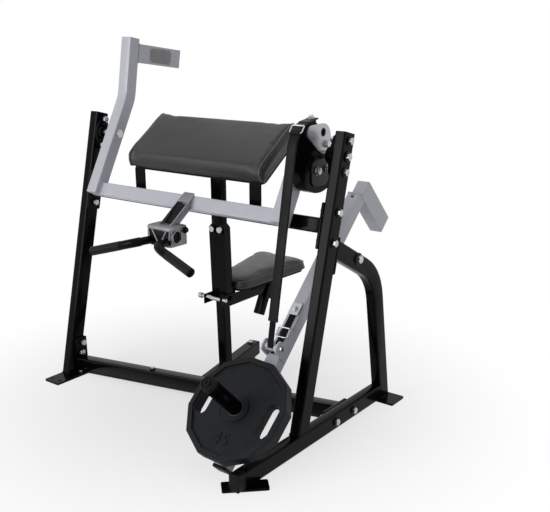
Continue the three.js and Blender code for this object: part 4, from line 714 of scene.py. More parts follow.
def hex_bolt(shell: Shell, washer: Shell, origin: Array, axis: Sequence[float], flats: float = 19.0,
             height: float = 8.0, turn: float = 0.0, seat: float = 28.0) -> None:
    """A hexagon head on its washer, its foot at the origin.

    Args:
        shell: takes the head.
        washer: takes the washer.
        origin: the middle of the washer's underside, in metres.
        axis: the way the head points.
        flats: width across flats in millimetres.
        height: head height.
        turn: the head's own turn in radians.
        seat: the washer's diameter.
    """
    r, t, hole, collar = seat / 2, 2.6, flats * 0.3, flats * 0.5
    washer.revolve([(r - 0.6, 0), (r, 0.5), (r, t - 0.5), (r - 0.6, t), (hole, t), (hole, 0)], origin, axis, 40,
                   loop=True)
    foot = origin + unit(axis) * t * MM
    shell.revolve([(flats * 0.45, -0.2), (collar, 0), (collar, 0.8), (hole, 0.8)], foot, axis, 36)
    shell.hexagon(flats, height, foot + unit(axis) * 0.5 * MM, axis, turn)


def weld_bead(shell: Shell, corners: Array, width: float = 5.0) -> None:
    """A rippled fillet weld along a closed run of points.

    Formula: an eight-sided ring whose radius swells with a sine along the run, as stacked ripples do.

    Args:
        shell: takes the bead.
        corners: the run's corner points in metres.
        width: the bead's width in millimetres.
    """
    pitch, swell, step = 3.4, 0.16, 1.6
    closed = np.vstack([corners, corners[:1]])
    length = np.concatenate([[0], np.cumsum(np.linalg.norm(np.diff(closed, axis=0), axis=1))])
    steps = max(int(length[-1] / (step * MM)), 24)
    t = np.linspace(0, length[-1], steps, endpoint=False)
    path = np.stack([np.interp(t, length, closed[:, k]) for k in range(3)], -1)
    normal = unit(np.cross(corners[1] - corners[0], corners[2] - corners[1]))
    side = np.cross(directions(path, closed=True), normal)
    radius = width / 2 * MM * (1 + swell * np.sin(t / (pitch * MM) * 2 * np.pi))
    a = turns(8)[None, :, None]
    ring = np.cos(a) * side[:, None] + np.sin(a) * normal
    shell.grid(path[:, None] + radius[:, None, None] * ring, loop=True)


def tube_mouth(centre: Array, side: Array, up: Array, width: float, depth: float, radius: float) -> Array:
    """The corner run of a rectangular tube's end.

    Returns:
        Points in metres round the section.
    """
    ring = rounded_rect(width, depth, radius, 3) * MM
    return centre + ring[:, :1] * side + ring[:, 1:] * up


def end_plug(shell: Shell, centre: Array, axis: Sequence[float], side: Array, up: Array, width: float,
             depth: float, dome: float = 2.4) -> None:
    """A push-in plug that closes a tube's end with a shallow dome.

    Formula: rings that shrink towards the middle while rising by dome (1 - share^3).
    """
    shares = np.array([0.86, 0.97, 1.0, 0.97, 0.85, 0.6, 0.3, 0.05])
    rise = np.array([-0.5, -0.5, 0.3, 1.0, 1.5, 2.0, 2.3, 2.4]) * dome / 2.4
    ring = rounded_rect(width, depth, 6.0, 4) * MM
    flat = ring[:, :1] * side + ring[:, 1:] * up
    grid = centre + shares[:, None, None] * flat[None] + (rise * MM)[:, None, None] * unit(axis)
    shell.grid(grid)


# Sub-assemblies


def post_y(z: float) -> float:
    """Centreline of both posts at a height: z tan(lean) plus half the tube over cos(lean)."""
    return z * math.tan(POST_LEAN) + POST_DEPTH / 2 / math.cos(POST_LEAN)


def lean_axes(lean: float) -> tuple[Array, Array]:
    """The directions along and square behind a member that leans back by the angle."""
    along = np.array([0, math.sin(lean), math.cos(lean)])
    return along, np.array([0, math.cos(lean), -math.sin(lean)])


@dataclass
class Hardware:
    """Bolts, washers, nuts, plugs and weld beads of one body.

    Attributes:
        body: the body that carries them.
        heads: bolt heads and nuts.
        washers, plugs, welds: the other gathered surfaces.
    """

    body: str
    heads: Shell = field(default_factory=Shell)
    washers: Shell = field(default_factory=Shell)
    plugs: Shell = field(default_factory=Shell)
    welds: Shell = field(default_factory=Shell)

    def bolt(self, x: float, y: float, z: float, axis: Sequence[float], flats: float = 21.0,
             height: float = 8.6, seat: float = 33.0, turn: float = 0.3) -> None:
        """A hexagon bolt head on a broad washer, its foot at a place in millimetres."""
        hex_bolt(self.heads, self.washers, place(x, y, z), axis, flats, height, turn, seat)

    def nut(self, x: float, y: float, z: float, axis: Sequence[float], seat: float = 30.0) -> None:
        """A nut on its washer with the bolt's rounded tip."""
        foot = place(x, y, z)
        hex_bolt(self.heads, self.washers, foot, axis, 21.0, 11.0, 0.2, seat)
        self.heads.revolve([(5.6, 12), (5.6, 16.5), (5.0, 17.6), (0.5, 17.9)], foot, axis, 20)

    def weld(self, centre: Array, side: Array, up: Array, width: float, depth: float, radius: float = 6.0,
             size: float = 4.5) -> None:
        """A fillet bead round a rectangular joint."""
        weld_bead(self.welds, tube_mouth(centre, side, up, width, depth, radius), size)

    def build(self, weld_paint: bpy.types.Material, slot: str, washer_paint: bpy.types.Material) -> None:
        """Makes the gathered pieces.

        Args:
            weld_paint: the paint over the welds.
            slot: its record slot.
            washer_paint: the washers' finish.
        """
        for name, shell, paint, kind, sharp in (
            ("bolt_heads", self.heads, PAINT["zinc"], "zinc", 24.0),
            ("washers", self.washers, washer_paint, "black_paint", 30.0),
            ("tube_plugs", self.plugs, PAINT["plastic"], "black_paint", 60.0),
            ("weld_beads", self.welds, weld_paint, slot, 60.0),
        ):
            if shell.points:
                shell.build(f"{self.body}_{name}", paint, self.body, kind, sharp)


@dataclass
class BlackFrame:
    """Posts, base, rear leg and crossbars: the standing frame.

    Attributes:
        tubes: CAD nodes in gloss black.
        rubbers: CAD nodes in moulded plastic.
        outer_x: outer face of the posts.
        inner_x: inner face of the posts.
        flange: thickness of a bolted flange.
        bearing: thickness of a bearing's flange.
        pitch: a flange bolt's distance from the flange's middle.
        upper_z: height of the upper crossbar.
        foot_z: heights of the left post's two bolts above its foot.
        rail_z: height of the base rail's and crossbar's middle line.
        rail_bolts: places of the rail's two bolts.
        rail_front: the rail's front end.
        base_run: the skewed crossbar's run in plan, (x, y).
        column: the seat post's foot, its height above that and the column's, (y, rise, z).
        column_lean: how far the seat post leans back.
    """

    tubes: tuple[str, ...] = (
        "right_base_rail", "front_foot_plate", "rear_foot_plate", "left_foot_plate", "right_post", "left_post",
        "rear_leg", "leg_mount_plate", "base_crossbar", "base_tail", "upper_crossbar", "seat_post",
        "seat_column", "pad_support_left", "pad_support_centre", "pad_support_right", "bearing_left",
        "bearing_right", "stem_sleeve", "seat_carriage", "seat_carrier",
    )
    rubbers: tuple[str, ...] = ("rail_end_block", "tail_foot")
    outer_x: float = 590.3
    inner_x: float = 550.0
    flange: float = 8.3
    bearing: float = 12.6
    pitch: float = 49.0
    upper_z: float = 736.0
    foot_z: tuple[float, float] = (88.0, 128.0)
    rail_z: float = 38.3
    rail_bolts: tuple[float, float] = (244.0, 360.0)
    rail_front: float = -258.7 - 35.4
    base_run: tuple[float, float] = (1083.4, 248.0)
    column: tuple[float, float, float] = (338.0, 307.0, 652.0)
    column_lean: float = math.radians(-2)

    def skins(self) -> None:
        """Dresses the CAD solids of the frame."""
        for node in self.tubes:
            smooth_copy(node, PAINT["black"], "frame")
        for node in self.rubbers:
            smooth_copy(node, PAINT["plastic"], "frame", bevel=1.5)

    def pair(self, y: float, z: float) -> list[tuple[float, float]]:
        """A flange's two bolts as (y, z): the pitch below and above its middle, along the posts."""
        along, _ = lean_axes(POST_LEAN)
        return [(y + step * self.pitch * along[1], z + step * self.pitch * along[2]) for step in (-1, 1)]

    def base_axes(self) -> tuple[Array, Array]:
        """The directions along the skewed base crossbar and along its tail."""
        run = unit([*self.base_run, 0])
        return run, np.array([-run[1], run[0], 0])

    def bolts(self, kit: Hardware) -> None:
        """The through bolts of posts, rail and column."""
        upper = self.pair(post_y(self.upper_z), self.upper_z)
        for sign in (-1, 1):
            out, inward = (sign, 0, 0), (-sign, 0, 0)
            for step, low, high in zip((-1, 1), self.pair(*PIVOT), upper):
                kit.bolt(sign * self.outer_x, *low, out, turn=0.5 + step)
                kit.nut(sign * (self.inner_x - self.bearing), *low, inward)
                kit.bolt(sign * self.outer_x, *high, out, turn=0.2 + step)
                kit.nut(sign * (self.inner_x - self.flange), *high, inward)
        for z in self.foot_z:
            kit.bolt(-self.outer_x, post_y(z) + 18, z, -X_AXIS)
            kit.nut(-self.inner_x + self.flange, post_y(z) + 18, z, X_AXIS, 27)
        for y in self.rail_bolts:
            kit.bolt(self.outer_x, y, self.rail_z, X_AXIS)
            kit.nut(self.inner_x - self.flange, y, self.rail_z, -X_AXIS)
        kit.bolt(self.outer_x, *LEVER_PIVOT, X_AXIS, flats=25, height=11, seat=44)
        kit.nut(444, *LEVER_PIVOT, -X_AXIS, 40)
        up, back = lean_axes(self.column_lean)
        foot, rise, top = self.column
        head = np.array([0, foot + rise * math.tan(self.column_lean), top]) - up * 18 - back * 17.8
        for x in (-16, 20):
            kit.bolt(x, head[1], head[2], -back, flats=22, height=9, seat=28)
        _, tail = self.base_axes()
        for spot in (np.array([-87, 643, 68.6]) - tail * 38, np.array([-210, 148, 68.6])):
            kit.bolt(*spot, Z_AXIS, flats=16, height=6, seat=24)
        for x in (-22, 22):
            for y in (50, 118):
                kit.bolt(-550 + x, y, 8.1, Z_AXIS, flats=15, height=6, seat=24)

    def plugs(self, kit: Hardware) -> None:
        """Closes the open tube ends with plastic plugs."""
        along, back = lean_axes(POST_LEAN)
        z = 1033 - POST_DEPTH / 2 * math.sin(POST_LEAN)
        for x in (-POST_X, POST_X):
            end_plug(kit.plugs, place(x, post_y(z), z) + along * PROUD * MM, along, X_AXIS, back, 39.4, 59.4)
        run, tail = self.base_axes()
        end_plug(kit.plugs, place(-87, 643, self.rail_z) + tail * PROUD * MM, tail, run, Z_AXIS, 49.4, 59.4)
        front = place(POST_X, self.rail_front, self.rail_z)
        end_plug(kit.plugs, front, -Y_AXIS, X_AXIS, Z_AXIS, 39.0, 59.0, 1.6)

    def welds(self, kit: Hardware) -> None:
        """Beads at the frame's welded joints."""
        along, back = lean_axes(POST_LEAN)
        kit.weld(place(-POST_X, post_y(8.3), 9.4), X_AXIS, Y_AXIS, 40.5, 62.5)
        kit.weld(place(POST_X, post_y(68.3), 69.4), X_AXIS, Y_AXIS, 40.5, 62.5)
        upper = post_y(self.upper_z)
        for sign in (-1, 1):
            middle = place(sign * (self.inner_x - 9.2), upper, self.upper_z) + back * 10 * MM
            kit.weld(middle, back, along, 40.5, 50.5)
        for x in (-287, 262):
            foot = place(x, upper + 10, self.upper_z) + along * 26 * MM - back * 14 * MM
            kit.weld(foot, X_AXIS, back, 51, 9, 2, 4)
        kit.weld(place(0, self.column[0] + 2, 69.2), X_AXIS, Y_AXIS, 40.5, 41)
        kit.weld(place(POST_X, 590, 9.4), X_AXIS, Y_AXIS, 40.5, 62)

    def pivots(self) -> None:
        """The bare bolts that stand for the bearing and lever pins."""
        kit = Shell()
        for sign in (-1, 1):
            for y, z in self.pair(*PIVOT):
                kit.revolve([(5.8, 0), (5.8, 52)], place(sign * 538, y, z), (sign, 0, 0), 24)
        nodes = [f"bearing_bolt_{side}_{index}" for side in ("left", "right") for index in (1, 2)]
        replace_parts(kit.build("bearing_bolt_shanks", PAINT["zinc"], "frame", "zinc"), *nodes)
        pin = Shell()
        start = place(440, *LEVER_PIVOT)
        pin.revolve([(9, 0), (9, 150)], start, X_AXIS, 28)
        pin.revolve([(16, 56), (17, 57), (17, 108.5), (16, 109.4)], start, X_AXIS, 36)
        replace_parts(pin.build("lever_pivot_pin", PAINT["zinc"], "frame", "zinc"), "lever_pivot_bolt")

    def build(self) -> None:
        """Builds the whole standing frame."""
        kit = Hardware("frame")
        self.skins()
        self.pivots()
        self.bolts(kit)
        self.plugs(kit)
        self.welds(kit)
        kit.build(PAINT["black"], "black_paint", PAINT["plastic"])


@dataclass
class Cam:
    """The black cam with its silver cheeks, belt, buckle and clamp.

    Attributes:
        full: the cam's radius where the strap leaves it.
        top: its radius at the upper start.
        start, leave: where the belt starts and leaves, in degrees from +Y towards +Z.
        grown: where the radius is full.
        belt: thickness of belt and sleeve.
        width: their width.
    """

    full: float = 131.0
    top: float = 104.0
    start: float = 104.0
    leave: float = 168.67
    grown: float = 150.0
    belt: float = 7.0
    width: float = 37.0

    def radius(self, angle: Array) -> Array:
        """The cam's radius: a smooth step from top at the start to full where it is grown."""
        t = np.clip((np.asarray(angle, float) - self.start) / (self.grown - self.start), 0, 1)
        return self.top + (self.full - self.top) * t * t * (3 - 2 * t)

    def arc(self, x: float, start: float, end: float, lift: float, steps: int = 40) -> Array:
        """Points that lie a lift above the cam between two angles."""
        angle = np.linspace(start, end, steps)
        r = self.radius(angle) + lift
        a = np.radians(angle)
        return place(x, PIVOT[0] + r * np.cos(a), PIVOT[1] + r * np.sin(a))

    def outward(self, angle: Array) -> Array:
        """The direction away from the pivot at an angle."""
        a = np.radians(np.asarray(angle, float))
        return np.stack([np.zeros_like(a), np.cos(a), np.sin(a)], -1)

    def buckle(self) -> None:
        """A rectangular steel ring round the belt and the clamp over its upper end."""
        angle, lift = 140.5, 8.8
        up = self.outward(angle)
        middle = self.arc(STRAP_X, angle, angle + 1, lift, 2)[0]
        ring = Shell().wire(middle, np.cross(X_AXIS, up), up, (46, 26, 5), (2.5, 1.8))
        ring.build("belt_ring", PAINT["zinc"], "arm", "zinc")
        clamp = Shell()
        clamp.band(self.arc(STRAP_X, 98, 124, 9.9, 20), 40, 4.6)
        clamp.band(self.arc(STRAP_X, 122, 149, lift, 20), 38, 2.6)
        clamp.build("belt_clamp", PAINT["plastic"], "arm", "black_paint")

    def bush(self) -> None:
        """The dark bush in the cheeks' large hole."""
        shell = Shell()
        hole = place(STRAP_X - 24.5, PIVOT[0] + 4, PIVOT[1] + 69)
        profile = [(5, 0), (12, 0), (13.6, 1), (13.6, 48), (12, 49), (9, 49), (8, 46), (5, 46)]
        shell.revolve(profile, hole, X_AXIS, 32, loop=True)
        shell.revolve([(5.4, 4), (5.4, 44), (0.4, 44.2)], hole, X_AXIS, 24)
        shell.build("cheek_bush", PAINT["plastic"], "arm", "black_paint")

    def bolts(self) -> None:
        """The bolts of clamp, cheeks and cover."""
        kit = Hardware("arm")
        angle = 103.0
        foot = self.arc(STRAP_X, angle, angle + 1, 12.0, 2)[0]
        hex_bolt(kit.heads, kit.washers, foot, self.outward(angle), 16, 6.5, 0.3, 22)
        for x, sign in ((496.2, 1), (443.8, -1)):
            kit.bolt(x, PIVOT[0] + 21, PIVOT[1] + 31, (sign, 0, 0), flats=21, height=8.4, seat=27)
        for y in (-27, 27):
            kit.bolt(496.3, PIVOT[0] + y, PIVOT[1] - 50, X_AXIS, flats=21, height=8.4, seat=26)
        kit.build(PAINT["silver"], "silver_paint", PAINT["zinc"])

    def build(self) -> None:
        """Dresses the cam."""
        smooth_copy("cam_disc", PAINT["black"], "arm", bevel=1.0)
        smooth_copy("cam_cheeks", PAINT["machined"], "arm", bevel=0.8)
        smooth_copy("cam_cover", PAINT["grey"], "arm", bevel=1.0)
        belt = Shell()
        belt.band(self.arc(STRAP_X, self.start, self.leave, PROUD + self.belt / 2), self.width, self.belt)
        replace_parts(belt.build("cam_belt_skin", PAINT["sleeve"], "arm", "webbing"), "cam_belt")
        seams = Shell()
        end, steps = self.leave - 1.5, 30
        for side in (-1, 1):
            path = self.arc(STRAP_X + side * 14.5, self.grown, end, 0.35 + self.belt, steps)
            seams.stitches(path, self.outward(np.linspace(self.grown, end, steps)))
        seams.build("cam_belt_stitches", PAINT["thread"], "arm", "webbing")
        self.buckle()
        self.bush()
        self.bolts()


@dataclass
class CurlHandle:
    """The cast block under the crossbar and the bent bar with its grips.

    Attributes:
        bore: the bar's axis in the block, (y, z).
        block: the block's middle, (y, z).
        size: half its width, half its height and half its depth.
        bar, grip: radii of bar and grips.
        leave: where the bar leaves the block, from its middle.
        bend: where the bar turns, from the block's middle: (x, forward, down).
        end: where it ends.
        grip_length: length of a grip.
    """

    bore: tuple[float, float] = (37.0, 647.0)
    block: tuple[float, float] = (50.0, 662.0)
    size: tuple[float, float, float] = (56.0, 34.0, 38.0)
    bar: float = 14.0
    grip: float = 16.2
    leave: float = 32.0
    bend: tuple[float, float, float] = (47.0, 94.0, 0.0)
    end: tuple[float, float, float] = (234.0, 127.0, 52.0)
    grip_length: float = 130.0

    def route(self, sign: int) -> Array:
        """The bar's centreline on one side, its corners rounded by quadratic curves.

        Formula: between the points a quarter of a leg before and after a corner, (1-t)^2 a + 2t(1-t) corner
        + t^2 b.
        """
        y, z = self.bore
        points = [place(sign * x, y - f, z - d) for x, f, d in (
            (0, 0, 0), (self.leave, 0, 0), self.bend, self.end)]
        out = [points[0][None]]
        t = np.linspace(0, 1, 12)[:, None]
        for before, corner, after in zip(points, points[1:], points[2:]):
            a, b = corner + (before - corner) * 0.25, corner + (after - corner) * 0.25
            out.append((1 - t) ** 2 * a + 2 * t * (1 - t) * corner + t**2 * b)
        return np.concatenate([*out, points[-1][None]])

    def bars(self) -> None:
        """The bar, a little thicker outside the block, and its rubber grips."""
        steel, rubber = Shell(), Shell()
        left, right = self.route(-1), self.route(1)
        steel.tube(np.concatenate([left[::-1], right[1:]]), self.bar, 32)
        past_corner = 14
        for route in (left, right):
            steel.tube(route[past_corner:], self.grip - 0.5, 32, dome=4.0)
        length = np.array([self.grip_length, self.grip_length - 3, self.grip_length - 4, 5, 0])
        for route in (left, right):
            run = unit(route[-1] - route[-2])
            stop = route[-1] + run * 0.4 * MM
            rubber.tube(stop - run * length[:, None] * MM, self.grip, 36, dome=3.0)
        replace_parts(steel.build("curl_bar_skin", PAINT["black"], "arm", "black_paint"), "curl_bar")
        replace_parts(rubber.build("grip_sleeves", PAINT["grip"], "arm", "rubber"), "grip_left", "grip_right")

    def ribs(self, shell: Shell) -> None:
        """Raised ribs on the block's front: a frame round it and a V between the bar's two mouths."""
        y = self.block[0] - self.size[2] - 1.5
        z, w, h = self.block[1], self.size[0] - 4, self.size[1] - 4
        profile = rounded_rect(6, 6, 2.4, 3) * MM
        for (x0, z0), (x1, z1) in (
            [(-w, h), (w, h)], [(-w, h), (-w + 9, -h)], [(w, h), (w - 9, -h)],
            [(-w + 14, h), (-2, -h)], [(w - 14, h), (2, -h)], [(-14, -h), (14, -h)],
        ):
            t = np.array([0, 0.5, 1.0])
            path = place(x0 + (x1 - x0) * t, y, z + z0 + (z1 - z0) * t)
            shell.sweep(path, profile, np.cross(Y_AXIS, unit(path[-1] - path[0])), Y_AXIS)

    def cap_plate(self, shell: Shell) -> None:
        """The thick lid whose rounded ends stand past the block, with the bracket's foot on it."""
        ring = rounded_rect(124, 86, 20, 8) * MM
        rise = np.array([-11, -9.5, -1.5, 0.0]) + 0.4
        share = np.array([0.985, 1.0, 1.0, 0.97])
        middle = place(0, self.block[0] - 1, self.block[1] + self.size[1])
        self.slab(shell, middle, ring[:, :1] * X_AXIS + ring[:, 1:] * Y_AXIS, share, rise, Z_AXIS)

    def slab(self, shell: Shell, middle: Array, flat: Array, shares: Array, rise: Array, way: Array) -> None:
        """A flat plate with softened edges.

        Formula: the middle, plus each share of the outline, plus each rise along the plate's normal.

        Args:
            shell: takes the plate.
            middle: its middle in metres.
            flat: its outline round the middle in metres.
            shares: the outline's scale at each level.
            rise: the levels in millimetres.
            way: the normal.
        """
        shell.grid(middle + shares[:, None, None] * flat[None] + rise[:, None, None] * MM * way)

    def pockets(self, collar: Shell, dark: Shell) -> None:
        """A raised hexagonal collar at each end with a dark disc in it that paints the shade of its hollow, and
        a dark seal where the bar comes out.
        """
        steps = 48
        spin = spokes(Y_AXIS, Z_AXIS, steps) * (math.cos(math.pi / 6) * hexagon_share(turns(steps)))[:, None]
        ring = np.array([(23.4, -6), (23.4, 0), (26.5, 0.6), (27.4, 2.5), (26.2, 4.6), (23.4, 5), (22.4, 4),
                         (22.4, -6)])
        # the dark disc in each pocket is painted shade: it darkens the hollow
        painted_shade_disc = np.array([(22.3, -6.5), (22.3, -4.5), (16, -4.2), (9, -4.2), (2, -4.2)])
        seal = [(14.2, -4), (19, -3.2), (19.6, 0.6), (18.4, 2), (14.2, 2.4)]
        for sign in (-1, 1):
            foot = place(sign * self.size[0], self.bore[0], self.block[1])
            for profile, shell, loop in ((ring, collar, True), (painted_shade_disc, dark, False)):
                shell.grid(foot + sign * profile[:, 1, None, None] * MM * X_AXIS
                           + profile[:, 0, None, None] * MM * spin[None], loop=loop)
            bar = self.route(sign)
            mouth = place(sign * (self.leave + 4.4), self.block[0] - self.size[2] - 0.4, self.bore[1])
            dark.revolve(seal, mouth, unit(bar[14] - bar[12]), 32, loop=True)

    def painted_shade_panels(self, dark: Shell) -> None:
        """Dark sheets that paint the shade on the ground between the front's ribs and inside the bracket's
        recess.
        """
        # dark sheets as painted shade between the ribs and inside the bracket's recess
        ring = rounded_rect(98, 58, 5) * MM
        front = place(0, self.block[0] - self.size[2], self.block[1] - 1)
        self.slab(dark, front, ring[:, :1] * X_AXIS + ring[:, 1:] * Z_AXIS, np.array([1.0, 1.0, 0.98]),
                  np.array([-0.3, 0.5, 0.9]), -Y_AXIS)
        foot, head = self.foot(), self.head()
        back = unit(foot - head)
        face = unit(np.cross(back, X_AXIS))
        face = face if face[1] < 0 else -face
        panel = rounded_rect(45, np.linalg.norm(foot - head) / MM - 22, 3, 3) * MM
        middle = (foot + head) / 2 + face * 1.2 * MM + back * 6 * MM
        self.slab(dark, middle, panel[:, :1] * X_AXIS + panel[:, 1:] * back, np.array([0.97, 1.0, 1.0, 0.97]),
                  np.array([0.0, 0.3, 1.2, 1.5]), face)

    def casting(self) -> None:
        """The block with its lid, ribs, pocket collars and bolts, and dark sheets that paint the shade in its
        hollows and in the bracket's recess.
        """
        smooth_copy("handle_bracket", PAINT["casting"], "arm", bevel=1.2)
        smooth_copy("handle_block", PAINT["casting"], "arm", bevel=2.2)
        parts, dark, collar = Shell(), Shell(), Shell()
        self.ribs(parts)
        self.cap_plate(parts)
        parts.build("handle_block_ribs", PAINT["casting"], "arm", "silver_paint", 50)
        self.pockets(collar, dark)
        self.painted_shade_panels(dark)
        collar.build("handle_block_collars", PAINT["casting"], "arm", "silver_paint", 30)
        # the dark plastic pieces: painted shade in the block's hollows and the bracket's recess, and the bar's
        # seals
        dark.build("handle_seals_and_painted_shade", PAINT["plastic"], "arm", "black_paint", 30)
        kit = Hardware("arm")
        for sign in (1, -1):
            kit.bolt(sign * (self.size[0] + 6.2), self.block[0] + 24, self.block[1] + 20, sign * X_AXIS,
                     flats=16, height=7, seat=24)
        kit.heads.build("handle_bolts", PAINT["plastic"], "arm", "zinc", 24)
        kit.washers.build("handle_washers", PAINT["plastic"], "arm", "black_paint", 30)

    def foot(self) -> Array:
        """Where the bracket's middle line meets the block."""
        return place(0, self.block[0] + 12, self.block[1] + self.size[1])

    def head(self) -> Array:
        """Where the bracket's middle line meets the crossbar."""
        along, back = lean_axes(ARM_LEAN)
        return place(0, *PIVOT) - along * (ARM_DROP - ARM_TUBE / 2) * MM - back * 15 * MM

    def build(self) -> None:
        """Builds the handle."""
        self.bars()
        self.casting()


@dataclass
class SwingArm:
    """The silver frame that turns in the posts.

    Attributes:
        silvers: CAD nodes in silver paint.
        straight: the left upright's straight length above the pivot.
        bent: the length of its bent top.
        top_lean: how far that leans back.
        rise: the right upright's length above the pivot.
        flag_fall: how far the flag's plate falls to the rear.
    """

    silvers: tuple[str, ...] = ("arm_upright_left", "arm_upright_right", "arm_crossbar", "flag_plate")
    straight: float = 149.0
    bent: float = 221.0
    top_lean: float = math.radians(10.4)
    rise: float = 34.0
    flag_fall: float = math.radians(7)

    def axles(self) -> None:
        """Axle ends with flat seats and hexagon heads outside the posts and snap rings inside."""
        shell, seats = Shell(), Shell()
        for sign, inner in ((-1, 440), (1, 385)):
            start, way = place(sign * inner, *PIVOT), sign * X_AXIS
            reach = 591 - inner
            shell.revolve([(12.3, 0), (12.5, 0.6), (12.5, reach)], start, way, 32)
            seats.revolve([(15.4, reach), (17.4, reach + 0.6), (17.4, reach + 2.6), (16.6, reach + 3.2),
                           (0.5, reach + 3.2)], start, way, 36)
            shell.hexagon(22, 9, start + way * (reach + 3) * MM, way, 0.4)
        collar = [(12.6, -1), (15.5, -1), (16, -0.5), (16, 1.4), (15.4, 2), (12.6, 2)]
        for x in (-443.5, 387.5, 442.5):
            shell.revolve(collar, place(x, *PIVOT), X_AXIS, 36, loop=True)
        seats.build("axle_seats", PAINT["plastic"], "arm", "black_paint")
        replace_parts(shell.build("axle_ends", PAINT["zinc"], "arm", "zinc"), "axle_left", "axle_right")

    def placard(self, start: Array, up: Array) -> None:
        """A bare riveted plate on the flag's outer face.

        Args:
            start: the flag's upper inner corner.
            up: the direction of the upright there.
        """
        run = np.array([0, math.cos(self.flag_fall), -math.sin(self.flag_fall)])
        middle = start + run * 118 * MM - up * 35 * MM
        middle[0] = place(-444.8, 0, 0)[0]
        ring = rounded_rect(116, 54, 3, 4) * MM
        flat = ring[:, :1] * run + ring[:, 1:] * up
        plate = Shell()
        plate.grid(middle + np.array([1.0, 1.0, 0.985])[:, None, None] * flat[None]
                   + np.array([-0.1, 0.7, 1.0])[:, None, None] * MM * X_AXIS)
        plate.build("flag_placard", PAINT["placard"], "arm", "silver_paint", 30)
        rivets = Shell()
        for a in (-54, 54):
            for b in (-23, 23):
                rivets.revolve([(2.6, 0), (2.5, 0.7), (1.8, 1.4), (0.3, 1.7)],
                               middle + run * a * MM + up * b * MM + X_AXIS * 0.9 * MM, X_AXIS, 16)
        rivets.build("flag_rivets", PAINT["zinc"], "arm", "zinc", 60)

    def build(self) -> None:
        """Dresses the arm's solids and adds its plugs and welds."""
        for node in self.silvers:
            smooth_copy(node, PAINT["silver"], "arm")
        self.axles()
        kit = Hardware("arm")
        along, back = lean_axes(ARM_LEAN)
        up, behind = lean_axes(self.top_lean)
        pivot = place(0, *PIVOT)
        for x, reach in ((ARM_LEFT_X, -ARM_DROP), (ARM_RIGHT_X, -ARM_DROP), (ARM_RIGHT_X, self.rise)):
            way = along * math.copysign(1, reach)
            end = pivot + X_AXIS * x * MM + along * reach * MM
            end_plug(kit.plugs, end + way * PROUD * MM, way, X_AXIS, back, 49, 49, 1.6)
        top = pivot + (X_AXIS * ARM_LEFT_X + along * self.straight + up * self.bent) * MM
        end_plug(kit.plugs, top + up * PROUD * MM, up, X_AXIS, behind, 49, 49, 1.6)
        middle = pivot - along * (ARM_DROP - ARM_TUBE / 2) * MM + back * 12 * MM
        for x in (ARM_LEFT_X + ARM_TUBE / 2 + 1, ARM_RIGHT_X - ARM_TUBE / 2 - 1):
            kit.weld(middle + X_AXIS * x * MM, back, along, 30, 50, 4, 4)
        kit.weld(middle - back * 15.6 * MM, X_AXIS, along, 55, 34, 4, 4)
        self.placard(top - up * 17 * MM + behind * (ARM_TUBE / 2 + PROUD) * MM, up)
        flag = top - up * 52 * MM + behind * 25.4 * MM
        kit.weld(flag + X_AXIS * 21 * MM, X_AXIS, up, 9, 70, 2, 3.4)
        kit.plugs.build("arm_tube_caps", PAINT["silver"], "arm", "silver_paint", 60)
        kit.welds.build("arm_weld_beads", PAINT["silver"], "arm", "silver_paint", 60)


